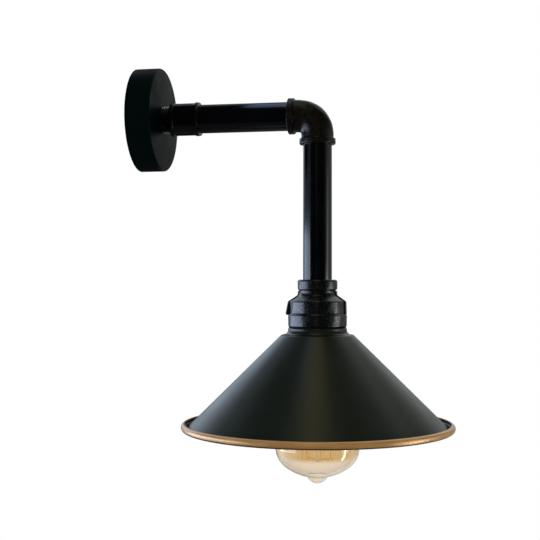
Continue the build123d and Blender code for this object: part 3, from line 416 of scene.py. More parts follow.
def mottle(finish, size, base, spread, roughness):
    """Slow change of colour and roughness from a noise of that size in mm.

    The colour goes from the base less the spread to the base plus it.
    """
    tree, shader, at = finish
    noise = add(tree, "ShaderNodeTexNoise", {"Vector": at, "Scale": 1 / (size * MM), "Detail": 4.0})
    ramp = add(tree, "ShaderNodeValToRGB", {"Fac": noise})
    shares = (1 - spread, 1 + spread)
    for end, where, share in zip(ramp.color_ramp.elements, (NOISE_LOW, NOISE_HIGH), shares):
        end.position = where
        end.color = [min(1.0, c * share) for c in base[:3]] + [1.0]
    tree.links.new(ramp.outputs[0], shader.inputs["Base Color"])
    smooth, rough = roughness
    ends = {"From Min": NOISE_LOW, "From Max": NOISE_HIGH, "To Min": smooth, "To Max": rough}
    change = add(tree, "ShaderNodeMapRange", {"Value": noise, **ends})
    tree.links.new(change.outputs[0], shader.inputs["Roughness"])


def powder_coat(base):
    """Polyester powder, sprayed on steel and baked: satin, with a fine orange peel."""
    finish = begin("satin_powder_coat", {"Specular IOR Level": 0.034})
    mottle(finish, size=30.0, base=base, spread=0.12, roughness=(0.36, 0.44))
    grain(finish, layers=[(1.6, 0.02)], strength=0.5)


def pipe_enamel(base):
    """Black stoving enamel on drawn steel pipe: semi-gloss, slightly wavy along the wall."""
    finish = begin("stoved_pipe_enamel", {"IOR": 1.5})
    mottle(finish, size=18.0, base=base, spread=0.15, roughness=(0.1, 0.15))
    grain(finish, layers=[(14.0, 0.02), (1.5, 0.002)], strength=0.4)


def cast_iron(name, base, grit, lump, roughness, shine, bend):
    """Malleable iron cast in sand, then blacked: a gritty skin that breaks a highlight into specks.

    The grit of such sand is about 0.3 mm, and is drawn coarser so that it shows in the picture. Grit
    and lumps stand as high as a small share of their size.
    """
    grit_share, lump_share = 0.08, 0.03
    finish = begin(name, {"Specular IOR Level": shine, "IOR": bend})
    mottle(finish, size=grit, base=base, spread=0.35, roughness=roughness)
    grain(finish, layers=[(grit, grit_share * grit), (lump, lump_share * lump)], strength=0.6)


def shade_enamel(base):
    """Satin stoving enamel on spun steel: even, with the faintest orange peel."""
    finish = begin("satin_shade_enamel", {"IOR": 1.5})
    mottle(finish, size=40.0, base=base, spread=0.08, roughness=(0.3, 0.35))
    grain(finish, layers=[(2.2, 0.006)], strength=0.4)


def spun_lining(base, dark_brown, spacing):
    """Brass-coloured lacquer over spun metal: satin, with the tool's rings round the axis.

    The rings are a noise along the distance from the axis, of the given spacing in mm. A dark line of
    painted shade runs low on the outer half of the rim, on the underside that turns from the light. It
    fades in between two heights above the rim's foot, and between two places in from the rim's edge, in mm.
    """
    ring_height = 0.02
    fade_down, fade_out = (2.0, 1.0), (3.8, 3.2)
    finish = begin("spun_brass_lacquer", {"Metallic": 0.5, "Coat Weight": 0.6, "Coat Roughness": 0.25})
    mottle(finish, size=25.0, base=base, spread=0.1, roughness=(0.38, 0.46))
    tree, shader, at = finish
    aside = add(tree, "ShaderNodeVectorMath", {0: at, 1: (REACH * MM, 0, 0)}, operation="SUBTRACT")
    flat = add(tree, "ShaderNodeVectorMath", {0: aside, 1: (1, 1, 0)}, operation="MULTIPLY")
    out = add(tree, "ShaderNodeVectorMath", {0: flat}, operation="LENGTH").outputs["Value"]
    pattern = {"W": out, "Scale": 1 / (spacing * MM), "Detail": 2.0}
    rings = add(tree, "ShaderNodeTexNoise", pattern, noise_dimensions="1D")
    high = add(tree, "ShaderNodeMath", {0: rings, 1: ring_height * MM}, operation="MULTIPLY")
    bump = add(tree, "ShaderNodeBump", {"Strength": 0.6, "Distance": 1.0, "Height": high})
    tree.links.new(bump.outputs[0], shader.inputs["Normal"])
    up = add(tree, "ShaderNodeSeparateXYZ", {0: at}).outputs["Z"]
    # Mask of the painted shade line: low on the rim and on its outer half
    low = (up, *((SHADE_LOW[2] + above) * MM for above in fade_down))
    outer = (out, *((RIM - within) * MM for within in fade_out))
    clean = shader.inputs["Base Color"].links[0].from_socket
    # The second colour mixed in here is painted shade along the rim's underside
    tint = add(tree, "ShaderNodeMixRGB", {0: falloff(tree, [low, outer]), 1: clean, 2: dark_brown})
    tree.links.new(tint.outputs[0], shader.inputs["Base Color"])


def lamp_glass(name, tint, through, bend):
    """Blown soda glass: a thin wall that bends light, slightly uneven, and lets the lamps shine in."""
    waves, roughest = 14.0, 0.03
    tree, shader, at = begin(name, {"Base Color": tint, "Transmission Weight": 1.0, "IOR": bend})
    noise = add(tree, "ShaderNodeTexNoise", {"Vector": at, "Scale": 1 / (waves * MM), "Detail": 1.0})
    rough = add(tree, "ShaderNodeMapRange", {"Value": noise, "To Min": 0.0, "To Max": roughest})
    tree.links.new(rough.outputs[0], shader.inputs["Roughness"])
    clear = add(tree, "ShaderNodeBsdfTransparent", {"Color": through})
    lay_over(tree, shader, add(tree, "ShaderNodeLightPath").outputs["Is Shadow Ray"], clear)
    return tree, shader, at


def painted_lining_reflection(finish, pale, amber, edge, fade):
    """Painted reflection of the brass lining: amber above an edge, and pale where the glass is seen side
    on.

    The edge is a height in mm, and so is the fade that the amber takes to come in above it.
    """
    side_on, face_on = 0.5, 0.3
    tree, shader, at = finish
    up = add(tree, "ShaderNodeSeparateXYZ", {0: at}).outputs["Z"]
    facing = add(tree, "ShaderNodeLayerWeight").outputs["Facing"]
    # Mask of the painted lining reflection: high on the globe, and not where the glass is seen side on
    share = falloff(tree, [(up, edge * MM, (edge + fade) * MM), (facing, side_on, face_on)])
    tint = add(tree, "ShaderNodeMixRGB", {0: share, 1: pale, 2: amber})
    tree.links.new(tint.outputs[0], shader.inputs["Base Color"])


def filament_thread(base, glow):
    """Hairpins of carbonised thread, matt: painted light makes them pale orange with a faint glow in the
    amber.
    """
    finish = begin("squirted_filament", {"IOR": 1.5, "Emission Color": glow, "Emission Strength": 0.2})
    mottle(finish, size=1.5, base=base, spread=0.2, roughness=(0.4, 0.55))


def matt_phenolic():
    """Phenolic edge of the holder as it left the press: unpolished, so it hardly shines."""
    finish = begin("matt_phenolic", {"Specular IOR Level": 0.05})
    mottle(finish, size=4.0, base=hex_linear("#050506"), spread=0.1, roughness=(0.6, 0.7))


def small_metal(name, code, size, roughness):
    """Plated, drawn or stamped metal of a small fitting: a soft, slightly cloudy sheen."""
    finish = begin(name, {"Metallic": 1.0})
    mottle(finish, size, base=hex_linear(code), spread=0.12, roughness=roughness)
    grain(finish, layers=[(size / 3, 0.01)], strength=0.3)


def small_moulding(name, code, size, roughness):
    """Moulded or fired non-metal of a small fitting: matt, with a faint grain."""
    finish = begin(name, {"IOR": 1.5})
    mottle(finish, size, base=hex_linear(code), spread=0.1, roughness=roughness)
    grain(finish, layers=[(size / 4, 0.02)], strength=0.4)


def smooth_corners():
    """Node group that welds a CAD node's loose triangles and shades them smooth, but not over corners."""
    tree = bpy.data.node_groups.new("smooth_cad_faces", "GeometryNodeTree")
    tree.interface.new_socket("Geometry", in_out="INPUT", socket_type="NodeSocketGeometry")
    tree.interface.new_socket("Geometry", in_out="OUTPUT", socket_type="NodeSocketGeometry")
    start = add(tree, "NodeGroupInput")
    weld = add(tree, "GeometryNodeMergeByDistance", {"Geometry": start, "Distance": CAD_WELD})
    soft = add(tree, "GeometryNodeSetShadeSmooth", {"Geometry": weld, "Shade Smooth": True})
    angle = add(tree, "GeometryNodeInputMeshEdgeAngle")
    corner = add(tree, "FunctionNodeCompare", {0: angle, 1: CAD_CORNER})
    edges = {"Geometry": soft, "Selection": corner, "Shade Smooth": False}
    hard = add(tree, "GeometryNodeSetShadeSmooth", edges, domain="EDGE")
    add(tree, "NodeGroupOutput", {0: hard})


def dress(names, one):
    """Gives CAD nodes a finish and smooth shading."""
    for name in names:
        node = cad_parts[name]
        if not node.material_slots:
            node.data.materials.append(None)
        for slot in node.material_slots:
            slot.material = bpy.data.materials[one]
        node.modifiers.new("smooth", "NODES").node_group = bpy.data.node_groups["smooth_cad_faces"]


# Operators


class PIPELIGHT_OT_finishes(bpy.types.Operator):
    """Makes the finishes that the pieces share"""

    bl_idname = "pipelight.finishes"
    bl_label = "Finishes"

    def execute(self, context):
        tones = context.scene.pipe_light.finishes
        sizes = context.scene.pipe_light.sizes
        powder_coat(tones.rose)
        pipe_enamel(tones.pipe)
        dark_brown = {"grit": 2.0, "lump": 6.0, "roughness": (0.26, 0.38), "shine": 0.7, "bend": 1.3}
        cast_iron("sand_cast_iron_browned", tones.elbow, **dark_brown)
        blacked = {"grit": 1.6, "lump": 5.0, "roughness": (0.18, 0.4), "shine": 0.6, "bend": 1.5}
        cast_iron("sand_cast_iron_blacked", tones.socket, **blacked)
        shade_enamel(tones.shade)
        spun_lining(tones.lining, tones.painted_rim_shade, sizes.spin_lines / MM)
        glass_with_reflection = lamp_glass("blown_amber_glass", tones.glass, through=hex_linear("#fff7e7"), bend=1.5)
        edge = GLASS_LOW[2] + sizes.amber_edge / MM
        painted_lining_reflection(glass_with_reflection, tones.glass, tones.amber, edge, sizes.amber_fade / MM)
        lamp_glass("drawn_clear_glass", hex_linear("#f9faf8"), through=hex_linear("#f9f9f9"), bend=1.15)
        filament_thread(tones.filament, tones.glow)
        matt_phenolic()
        for metal in SMALL_METALS:
            small_metal(*metal)
        for moulding in SMALL_MOULDINGS:
            small_moulding(*moulding)
        smooth_corners()
        return {"FINISHED"}


class PIPELIGHT_OT_rose(bpy.types.Operator):
    """Finishes the wall rose, its set screws and what it covers"""

    bl_idname = "pipelight.rose"
    bl_label = "Wall rose"

    def execute(self, context):
        dress(["rose_cover"], "satin_powder_coat")
        dress(["rose_grub_screws"], "black_oxide_steel")
        dress(["wall_plate", "nipple_washer", "nipple_backnut"], "zinc_plated_steel")
        dress(["terminal_screws", "block_screw", "earth_screw", "earth_tag"], "zinc_plated_steel")
        dress(["terminal_block"], "white_polyamide")
        dress(["terminal_tubes"], "stamped_brass")
        dress(["earth_lead"], "green_pvc")
        dress(["flex_sheath"], "black_pvc")
        dress(["flex_cores"], "brown_pvc")
        return {"FINISHED"}


class PIPELIGHT_OT_nipple(bpy.types.Operator):
    """Builds the wall nipple with its open thread"""

    bl_idname = "pipelight.nipple"
    bl_label = "Threaded nipple"

    def execute(self, context):
        sizes = context.scene.pipe_light.sizes
        grid = self.thread(sizes.thread_pitch / MM, sizes.thread_depth / MM)
        mesh = grid_mesh("nipple_thread", grid, rows_join=True)
        place("nipple_thread", mesh, "fixture", ["wall_nipple"], ["stoved_pipe_enamel"])
        return {"FINISHED"}

    @staticmethod
    def thread(pitch, depth):
        """Outside radius is the crest less the depth times a rounded wave of the helix phase.

        The ridge climbs one pitch in a turn, and the wave sinks to the root within a pitch of either
        end. The bore is a plain cylinder.
        """
        wall, roundness, rows = 2.0, 1.3, 10  # rows are those in a pitch
        start, end, crest = NIPPLE_LOW[0], NIPPLE_HIGH[0], NIPPLE_HIGH[2]
        angle = full_turn(96)
        at = np.linspace(start, end, int((end - start) / pitch * rows))[:, None]
        wave = helix_wave(at, angle, pitch)
        ends = np.clip(np.minimum(at - start, end - at) / pitch, 0, 1)
        radius = crest - depth * (1 - ends * (1 - wave**roundness))
        radius = np.concatenate([radius, np.full_like(radius, crest - wall)])
        at = np.concatenate([at, at[::-1]])
        return np.stack([at + 0 * angle, radius * np.cos(angle), radius * np.sin(angle)], -1)


class PIPELIGHT_OT_pipes(bpy.types.Operator):
    """Finishes the level pipe, the drop pipe and the coupling"""

    bl_idname = "pipelight.pipes"
    bl_label = "Pipes and coupling"

    def execute(self, context):
        dress(["arm_coupling", "arm_pipe", "drop_pipe"], "stoved_pipe_enamel")
        return {"FINISHED"}


class PIPELIGHT_OT_elbow(bpy.types.Operator):
    """Builds the banded cast elbow"""

    bl_idname = "pipelight.elbow"
    bl_label = "Cast elbow"

    def execute(self, context):
        lumps = context.scene.pipe_light.sizes.cast_lumps / MM
        mesh = grid_mesh("elbow_casting", self.casting(lumps), rows_join=True)
        place("elbow_casting", mesh, "fixture", ["pipe_elbow"], ["sand_cast_iron_browned"])
        return {"FINISHED"}

    @staticmethod
    def casting(lumps):
        """Ring profile (way along the bend, radius) carried along a level run, a quarter turn and a drop.

        A point is the bend's centre line plus its radius times the outward and sideways directions
        turned by the ring angle, and lumps are added along the ring's own direction, outside the bore.
        """
        band, body, bore = 17.2, 15.4, 13.3
        wide, leg, clear = 6.0, 10.0, 0.3
        face = ELBOW_LOW[0]
        bend = REACH - face - leg
        whole = 2 * leg + bend * math.pi / 2
        corners = [
            (0, bore),
            (0, band, 0.8),
            (wide, band, 0.8),
            (wide, body, 0.7),
            (whole - wide, body, 0.7),
            (whole - wide, band, 1.0),
            (whole, band, 1.6),
            (whole, bore),
        ]
        profile = rounded(corners, longest=0.9, closed=True)
        way, radius = profile[:, :1], profile[:, 1:]
        bent = np.clip((way - leg) / bend, 0, math.pi / 2)
        along = np.clip(way, 0, leg)
        down = np.clip(way - leg - bend * math.pi / 2, 0, leg)
        middle_x = face + along + bend * np.sin(bent)
        middle_z = -bend * (1 - np.cos(bent)) - down
        ring = full_turn(120)
        out = radius * np.cos(ring)
        aside = radius * np.sin(ring)
        grid = np.stack([middle_x + out * np.sin(bent), aside, middle_z + out * np.cos(bent)], -1)
        centre = np.stack([middle_x, 0 * middle_x, middle_z], -1)
        skin = (radius > bore + clear)[..., None] * (grid - centre) / radius[..., None]
        return grid + skin * wander(grid, 3, lumps)[..., None]


# Heights of the reducing socket that its casting and its ribs share
WAIST_TOP = SOCKET_HIGH[2] - 10.7
WAIST_FOOT = SOCKET_HIGH[2] - 14.6
FLARE_FOOT = SOCKET_HIGH[2] - 20.8
BAND_TOP = SOCKET_LOW[2] + 10.8

# Its ribs: name, side of the drop, reach at the foot of the flare and reach at the band
RIBS = (("socket_rib_wall", -1, 28.4, 31.0), ("socket_rib_room", 1, 27.6, 28.0))


class PIPELIGHT_OT_socket(bpy.types.Operator):
    """Builds the cast reducing socket and its two ribs"""

    bl_idname = "pipelight.socket"
    bl_label = "Reducing socket"

    def execute(self, context):
        lumps = context.scene.pipe_light.sizes.cast_lumps / MM
        iron = ["sand_cast_iron_blacked"]
        mesh = grid_mesh("socket_casting", self.casting(lumps), rows_join=True)
        place("socket_casting", mesh, "fixture", ["reducing_socket"], iron)
        for name, side, upper, lower in RIBS:
            rib = grid_mesh(name, self.rib(side, upper, lower), rows_join=False)
            place(name, rib, "fixture", [], iron)
        return {"FINISHED"}

    @staticmethod
    def casting(lumps):
        """Rounded profile of bands, waist and flare turned round the drop, lumps added outwards.

        The lumps leave out the bores and the face at the foot.
        """
        top, foot = SOCKET_HIGH[2], SOCKET_LOW[2]
        bore, collar, waist, flare, band, mouth = 13.3, 18.9, 17.2, 26.0, 28.0, 20.8
        collar_foot, slope_top, ceiling = top - 9.0, foot + 12.4, foot + 19.5
        inside, near_foot = 16.5, foot + 0.2
        corners = [
            (bore, top),
            (collar, top, 2.0),
            (collar, collar_foot, 1.0),
            (waist, WAIST_TOP, 1.0),
            (waist, WAIST_FOOT, 4.0),
            (flare, FLARE_FOOT, 1.6),
            (flare, slope_top, 1.0),
            (band, BAND_TOP, 1.0),
            (band, foot, 0.8),
            (mouth, foot),
            (mouth, ceiling),
            (bore, ceiling),
        ]
        profile = rounded(corners, longest=1.2, closed=True)
        grid = lathe(profile, columns=144)
        way = grid - np.array([REACH, 0, 0])
        way[..., 2] = 0
        way = way / np.linalg.norm(way, axis=-1)[..., None]
        skin = (profile[:, 0] > inside) & (profile[:, 1] > near_foot)
        return grid + skin[:, None, None] * way * wander(grid, 11, lumps)[..., None]

    @staticmethod
    def rib(side, upper, lower):
        """Rounded bar section carried down the edge line of a rib.

        The edge line gives the reach of each row, the section is a bar 6 mm wide with its outer
        corners rounded, and its back lies inside the casting. Both ends close in a point there.
        """
        root, waist, toe = 16.0, 18.8, 25.0
        corners = [
            (root, WAIST_TOP),
            (waist, WAIST_TOP, 0.6),
            (waist, WAIST_FOOT, 2.5),
            (upper, FLARE_FOOT, 2.5),
            (lower, BAND_TOP, 1.6),
            (toe, BAND_TOP),
        ]
        edge = rounded(corners, longest=1.0)
        corner, half, back = 1.4, 3.0, 15.0
        turn = np.radians(np.linspace(0, 90, 8))
        bow = half - corner * (1 - np.cos(turn))
        dip = corner * (1 - np.sin(turn))
        wide = np.concatenate([-bow, [0.0], bow[::-1], [half, -half]])
        sink = np.concatenate([dip, [0.0], dip[::-1]])
        reach = np.hstack([edge[:, :1] - sink[None], np.full((len(edge), 2), back)])
        high = edge[:, 1:] + 0 * reach
        grid = np.stack([REACH + side * reach, wide[None] + 0 * reach, high], -1)
        first = np.broadcast_to(grid[:1].mean(1, keepdims=True), grid[:1].shape)
        last = np.broadcast_to(grid[-1:].mean(1, keepdims=True), grid[-1:].shape)
        return np.concatenate([first, grid, last])


class PIPELIGHT_OT_holder(bpy.types.Operator):
    """Finishes the lampholder and the ring that clamps the shade"""

    bl_idname = "pipelight.holder"
    bl_label = "Lampholder"

    def execute(self, context):
        dress(["holder_skirt", "shade_ring"], "moulded_phenolic")
        dress(["holder_cap"], "matt_phenolic")
        dress(["holder_insert"], "glazed_ceramic")
        dress(["thread_shell", "centre_contact", "contact_rivets", "holder_terminals"], "stamped_brass")
        dress(["holder_terminal_screws"], "zinc_plated_steel")
        return {"FINISHED"}


class PIPELIGHT_OT_shade(bpy.types.Operator):
    """Builds the spun shade with its rolled rim, black outside and brass inside"""

    bl_idname = "pipelight.shade"
    bl_label = "Spun shade"

    def execute(self, context):
        sheet = context.scene.pipe_light.sizes.sheet / MM
        outside, lining = self.runs(sheet)
        grid = lathe(np.concatenate([outside, lining]), columns=224)
        marks = np.arange(len(grid)) >= len(outside) - 1
        mesh = grid_mesh("spun_shade", grid, rows_join=True, second=marks)
        coats = ["satin_shade_enamel", "spun_brass_lacquer"]
        place("spun_shade", mesh, "fixture", ["shade"], coats)
        return {"FINISHED"}

    @staticmethod
    def runs(sheet):
        """Outer line of the sheet from the hole to the rim, and the lining beside it on the way back.

        The outer line is the top, the neck, its foot and the cone, which touches the bead's circle,
        and then that circle to just past its top.
        """
        top, foot = SHADE_HIGH[2], SHADE_LOW[2]
        hole, neck, wide, tall = 20.1, 28.0, 34.3, 6.7
        roll, curl = 2.5, 95.0
        shoulder = np.array([wide, top - tall])
        bead = np.array([RIM - sheet - roll, foot + sheet + roll])
        way = bead - shoulder
        apart = np.hypot(*way)
        slope = math.atan2(way[1], way[0]) - math.asin(roll / apart)
        reach = math.sqrt(apart**2 - roll**2)
        touch = shoulder + reach * np.array([math.cos(slope), math.sin(slope)])
        corners = [(hole, top), (neck, top, 1.2), (neck, top - tall, 5.0), (*shoulder, 2.8), tuple(touch)]
        cone = rounded(corners, longest=4.0)
        outside = np.concatenate([cone, arc(bead, roll, heading(bead, touch), curl)[1:]])
        return outside, beside(outside, sheet)[::-1]


class PIPELIGHT_OT_lamp(bpy.types.Operator):
    """Builds the globe and the screw cap, and finishes what the globe holds"""

    bl_idname = "pipelight.lamp"
    bl_label = "Globe lamp"

    def execute(self, context):
        sizes = context.scene.pipe_light.sizes
        globe = lathe(self.globe(sizes.glass_wall / MM), columns=160)
        glass = grid_mesh("blown_globe", globe, rows_join=False)
        place("blown_globe", glass, "lamp", ["bulb_glass"], ["blown_amber_glass"])
        thread = self.cap(sizes.cap_pitch / MM, sizes.cap_depth / MM)
        cap = grid_mesh("lamp_cap_thread", thread, rows_join=True)
        place("lamp_cap_thread", cap, "lamp", ["bulb_cap"], ["stamped_brass"])
        dress(["bulb_cap_glass"], "black_glass_frit")
        dress(["bulb_eyelet"], "tinned_solder")
        dress(["bulb_stem"], "drawn_clear_glass")
        dress(["filament"], "squirted_filament")
        dress(["filament_supports", "bulb_leads"], "fired_support_wire")
        return {"FINISHED"}

    @staticmethod
    def globe(wall):
        """Outer line of the globe from its tip to its neck, and the same line inside the wall.

        Circles that touch each other make it: the pip, a hollow fillet, the shallow bowl, the tighter
        side, the globe and the hollow flare, then the straight neck. Two circles that touch from
        outside lie the sum of their radii apart, and from inside the difference.
        """
        tip, rim = GLASS_LOW[2], GLASS_HIGH[2]
        ball = GLASS_HIGH[0] - REACH
        side, neck, flare, pip, hollow = 22.0, 12.5, 18.0, 11.0, 1.0
        pip_tall, tall = 5.6, 28.2
        foot = tip + pip_tall
        middle = foot + tall
        across = ball - side
        bowl = (across**2 + tall**2 - side**2) / (2 * (tall - side))
        deep = np.array([0, foot + bowl])
        knob = np.array([0, tip + pip])
        apart = deep[1] - knob[1]
        drop = (apart**2 + (pip + hollow) ** 2 - (bowl + hollow) ** 2) / (2 * apart)
        nook = knob + np.array([math.sqrt((pip + hollow) ** 2 - drop**2), drop])
        centre = np.array([0, middle])
        bulge = np.array([across, middle])
        throat = centre + np.array([neck + flare, math.sqrt((ball + flare) ** 2 - (neck + flare) ** 2)])
        turn = heading(deep, bulge)
        runs = [
            arc(knob, pip, -90, heading(knob, nook)),
            arc(nook, hollow, heading(nook, knob) % 360, heading(nook, deep))[1:],
            arc(deep, bowl, heading(deep, nook), turn)[1:],
            arc(bulge, side, turn, 0)[1:],
            arc(centre, ball, 0, heading(centre, throat))[1:],
            arc(throat, flare, heading(throat, centre) % 360, 180)[1:],
            np.array([[neck, (throat[1] + rim) / 2], [neck, rim]]),
        ]
        line = np.concatenate(runs)
        inside = beside(line, -wall)
        line[0, 0] = 0
        inside[0] = (0, tip + wall)
        return np.concatenate([line, inside[::-1]])

    @staticmethod
    def cap(pitch, depth):
        """Shell of the cap turned round the drop, its wall moved in by a rounded wave of the helix phase.

        The thread is right-handed, and the wave fades out over the rim and over the turned-in shoulder,
        which itself stays as it is.
        """
        low, high, radius = CAP_LOW[2], CAP_HIGH[2], CAP_HIGH[0] - REACH
        wall, lip, fade = 0.4, 1.2, 2.0
        still, blend = 1.0, 0.3  # how far in the wave is gone, and the reach that it takes to go
        corners = [
            (radius, low),
            (radius, high, 0.9),
            (radius - lip, high),
            (radius - lip, high - wall),
            (radius - wall, high - wall, 0.5),
            (radius - wall, low),
        ]
        profile = rounded(corners, longest=0.35, closed=True)
        angle = full_turn(96)
        reach, height = profile[:, :1], profile[:, 1:]
        rim = np.clip((height - low - fade) / fade, 0, 1)
        shoulder = np.clip((high - lip - height) / fade, 0, 1)
        shell = np.clip((reach - radius + still) / blend, 0, 1)
        out = reach - depth * helix_wave(height, angle, pitch) * rim * shoulder * shell
        return turned(out, height, angle)


# Soft lights: name, which is also its setting's, colour, width and height, spot and target, in metres
PANELS = (
    ("side_light", "#cde1ff", (1.15, 0.42), (-0.72, -0.125, -0.27), (0.3, -0.125, -0.27)),
    ("room_light", "#f6fafc", (0.4, 0.3), (1.05, -0.02, -0.3), (0.17, -0.02, -0.3)),
    ("top_light", "#fff0b0", (0.36, 0.95), (0.16, -0.325, 1.0), (0.16, -0.325, 0.0)),
    ("card_light", "#a8c4ff", (0.06, 0.3), (0.065, 0.05, 0.35), (0.065, 0.05, 0.0)),
    ("window_light", "#ffffff", (0.085, 0.37), (0.72, -0.03, -0.49), (0.2, -0.03, -0.325)),
    ("fill_light", "#fff2e6", (1.2, 1.2), (0.45, -1.6, 0.25), (0.18, -0.1, -0.31)),
)


class PIPELIGHT_OT_stage(bpy.types.Operator):
    """Sets up the camera, the floor, the lights and the world"""

    bl_idname = "pipelight.stage"
    bl_label = "Studio"

    def execute(self, context):
        studio = context.scene.pipe_light.studio
        context.scene.view_settings.view_transform = "Standard"
        self.camera(context.scene, studio)
        self.floor(context.scene)
        for name, *placed in PANELS:
            self.panel(name, getattr(studio, name), *placed)
        bpy.data.objects["fill_light"].visible_glossy = False
        self.surroundings(context.scene, studio.ambient)
        return {"FINISHED"}

    @staticmethod
    def camera(scene, studio):
        """Level camera: the drop pipe lies at its distance and in its column of the picture."""
        data = bpy.data.cameras.new("camera")
        data.lens = studio.lens
        data.sensor_width = SENSOR
        data.shift_y = (studio.horizon - PICTURE / 2) / PICTURE
        made = bpy.data.objects.new("camera", data)
        scene.collection.objects.link(made)
        turn = studio.azimuth
        aside = (studio.column - PICTURE / 2) / PICTURE * SENSOR / studio.lens * studio.distance
        made.location = (
            REACH * MM + studio.distance * math.sin(turn) - aside * math.cos(turn),
            -studio.distance * math.cos(turn) - aside * math.sin(turn),
            studio.height,
        )
        made.rotation_euler = (math.pi / 2, 0, turn)
        scene.camera = made

    @staticmethod
    def floor(scene):
        """Round floor 1.3 m below the lamp, in rings of points, that fades to white at its edge.

        The fade runs between two distances in metres, and the whole floor has a least share of white.
        """
        level, outermost, rings = -1650.0, 3200.0, 5
        fade_start, fade_end, least = 2.0, 3.3, 0.55
        profile = np.stack([np.linspace(0, outermost, rings), np.full(rings, level)], 1)
        grid = lathe(profile, columns=96)
        made = bpy.data.objects.new("floor", grid_mesh("floor", grid, rows_join=False))
        scene.collection.objects.link(made)
        # Painted concrete: pale and matt, faintly clouded
        finish = begin("pale_painted_floor", {"IOR": 1.5})
        mottle(finish, size=400.0, base=hex_linear("#e9e9e7"), spread=0.02, roughness=(0.6, 0.7))
        tree, shader, at = finish
        far = add(tree, "ShaderNodeVectorMath", {0: at}, operation="LENGTH").outputs["Value"]
        edge = add(tree, "ShaderNodeMapRange", {"Value": far, "From Min": fade_start, "From Max": fade_end})
        share = add(tree, "ShaderNodeMath", {0: edge, 1: least}, operation="MAXIMUM")
        seen = seen_straight(tree)
        part = add(tree, "ShaderNodeMath", {0: share, 1: seen}, operation="MULTIPLY")
        lay_over(tree, shader, part, add(tree, "ShaderNodeEmission", {"Strength": 1.0}))
        made.data.materials.append(bpy.data.materials["pale_painted_floor"])
        made.visible_glossy = False  # the world stands in for it in reflections

    @staticmethod
    def panel(name, power, code, size, spot, target):
        """Rectangular soft light at a spot, turned to a target and hidden from the camera."""
        data = bpy.data.lights.new(name, "AREA")
        data.shape = "RECTANGLE"
        data.size, data.size_y = size
        data.energy = power
        data.color = hex_linear(code)[:3]
        made = bpy.data.objects.new(name, data)
        bpy.context.scene.collection.objects.link(made)
        made.location = spot
        made.visible_camera = False
        way = np.array(target) - np.array(spot)
        flat = math.hypot(way[0], way[1])
        turn = math.atan2(way[1], way[0]) - math.pi / 2 if flat > 1e-6 else 0.0
        made.rotation_euler = (math.atan2(flat, -way[2]), 0, turn)

    @staticmethod
    def patches():
        """Patches of a dim room, which reflections show: colour, level and slopes.

        A slope is as in falloff, with an axis of the direction for its value.
        """
        high = ("Z", -0.1, 0.2, 0.08, 1.0)
        clear = ("Z", 0.05, 0.35, 0.55, 1.0)
        cold = (("Y", 0.45, 0.7, 0.005, 1.0), ("X", -0.25, -0.5), high)
        warm = (("Y", 0.2, 0.85, 0.005, 1.0), ("X", -0.3, 0.0), ("X", 0.25, 0.6, 1.0, 0.15), clear)
        above = (("Y", 0.25, 0.5), ("Z", 0.6, 0.74))
        cold_above = (*above, ("X", -0.15, -0.45))
        warm_above = (*above, ("X", 0.0, 0.3))
        window = (("X", -0.65, -0.85), ("Z", -0.75, -0.45), ("Z", 0.02, -0.12, 0.15, 1.0))
        room = (("X", 0.5, 0.75), ("Z", -0.16, -0.06))
        doorway = (*room, ("Y", -0.6, 0.3), ("Z", 0.5, 0.2))
        door_gap = (*room, ("Y", -0.2, 0.06), ("Y", 0.4, 0.08), ("Z", 0.13, 0.05))
        front = (("X", -0.12, -0.02), ("X", 0.15, 0.05), ("Y", -0.5, -0.9))
        glow = (*front, ("Z", 0.0, 0.12))
        lamp = (*front, ("Z", -0.22, -0.13), ("Z", -0.04, -0.1))
        ground = (("Z", -0.6, -0.9),)
        return (
            ("#dcecff", 1.5, cold),
            ("#f4faf6", 0.85, warm),
            ("#dcecff", 1.3, cold_above),
            ("#f8faf4", 0.65, warm_above),
            ("#dfeaff", 1.5, window),
            ("#f4f4ee", 0.4, doorway),
            ("#eef4fa", 1.3, door_gap),
            ("#eef0d8", 0.12, glow),
            ("#fff4c4", 0.8, lamp),
            ("#f2ece2", 0.08, ground),
        )

    def surroundings(self, scene, ambient):
        """World: white to the camera and through glass, in patches for reflections, and soft light.

        The soft light has the ambient level at the horizon, and the given shares of it below and above.
        """
        below, overhead = 0.1, 1.9
        world = bpy.data.worlds.new("studio")
        world.use_nodes = True
        world.cycles.sampling_method = "NONE"  # reflections then see only what they are meant to
        scene.world = world
        tree = world.node_tree
        tree.nodes.clear()
        way = add(tree, "ShaderNodeTexCoord").outputs["Generated"]
        parts = add(tree, "ShaderNodeSeparateXYZ", {0: way}).outputs
        shine = None
        for code, level, slopes in self.patches():
            strength = falloff(tree, [(parts[axis], *step) for axis, *step in slopes], level)
            patch = add(tree, "ShaderNodeBackground", {"Color": hex_linear(code), "Strength": strength})
            if shine is not None:
                patch = add(tree, "ShaderNodeAddShader", {0: shine, 1: patch})
            shine = patch
        pure = (1.0, 1.0, 1.0, 1.0)
        ends = {"From Min": -1.0, "To Min": below * ambient, "To Max": overhead * ambient}
        lit = add(tree, "ShaderNodeMapRange", {"Value": parts["Z"], **ends})
        soft = add(tree, "ShaderNodeBackground", {"Color": pure, "Strength": lit})
        white = add(tree, "ShaderNodeBackground", {"Color": pure, "Strength": 1.0})
        glossy = add(tree, "ShaderNodeLightPath").outputs["Is Glossy Ray"]
        dim = add(tree, "ShaderNodeMixShader", {0: glossy, 1: soft, 2: shine})
        seen = seen_straight(tree)
        both = add(tree, "ShaderNodeMixShader", {0: seen, 1: dim, 2: white})
        add(tree, "ShaderNodeOutputWorld", {"Surface": both})


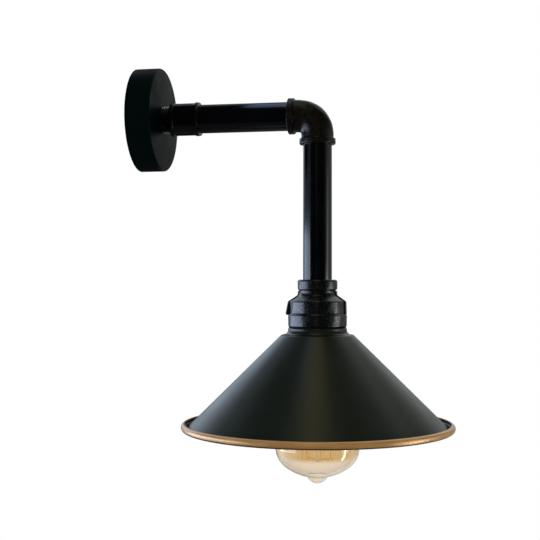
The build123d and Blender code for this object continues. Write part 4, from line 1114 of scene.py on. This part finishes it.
PIECES = (
    PIPELIGHT_OT_finishes,
    PIPELIGHT_OT_rose,
    PIPELIGHT_OT_nipple,
    PIPELIGHT_OT_pipes,
    PIPELIGHT_OT_elbow,
    PIPELIGHT_OT_socket,
    PIPELIGHT_OT_holder,
    PIPELIGHT_OT_shade,
    PIPELIGHT_OT_lamp,
    PIPELIGHT_OT_stage,
)


class PIPELIGHT_PT_panel(bpy.types.Panel):
    """Lists the settings and the pieces of the wall light"""

    bl_idname = "PIPELIGHT_PT_panel"
    bl_label = "Pipe wall light"
    bl_space_type = "VIEW_3D"
    bl_region_type = "UI"
    bl_category = "Pipe light"

    def draw(self, context):
        settings = context.scene.pipe_light
        for group in (settings.sizes, settings.finishes, settings.studio):
            box = self.layout.box()
            for name in group.bl_rna.properties.keys():
                if name not in ("rna_type", "name"):
                    box.prop(group, name)
        for piece in PIECES:
            self.layout.operator(piece.bl_idname)


CLASSES = (
    PIPELIGHT_PG_sizes,
    PIPELIGHT_PG_finishes,
    PIPELIGHT_PG_studio,
    PIPELIGHT_PG_settings,
    *PIECES,
    PIPELIGHT_PT_panel,
)


def register():
    for one in CLASSES:
        bpy.utils.register_class(one)
    bpy.types.Scene.pipe_light = bpy.props.PointerProperty(type=PIPELIGHT_PG_settings)


def unregister():
    del bpy.types.Scene.pipe_light
    for one in reversed(CLASSES):
        bpy.utils.unregister_class(one)


def main():
    """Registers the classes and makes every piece."""
    register()
    bpy.ops.pipelight.finishes()
    bpy.ops.pipelight.rose()
    bpy.ops.pipelight.nipple()
    bpy.ops.pipelight.pipes()
    bpy.ops.pipelight.elbow()
    bpy.ops.pipelight.socket()
    bpy.ops.pipelight.holder()
    bpy.ops.pipelight.shade()
    bpy.ops.pipelight.lamp()
    bpy.ops.pipelight.stage()


if __name__ == "__main__":
    main()
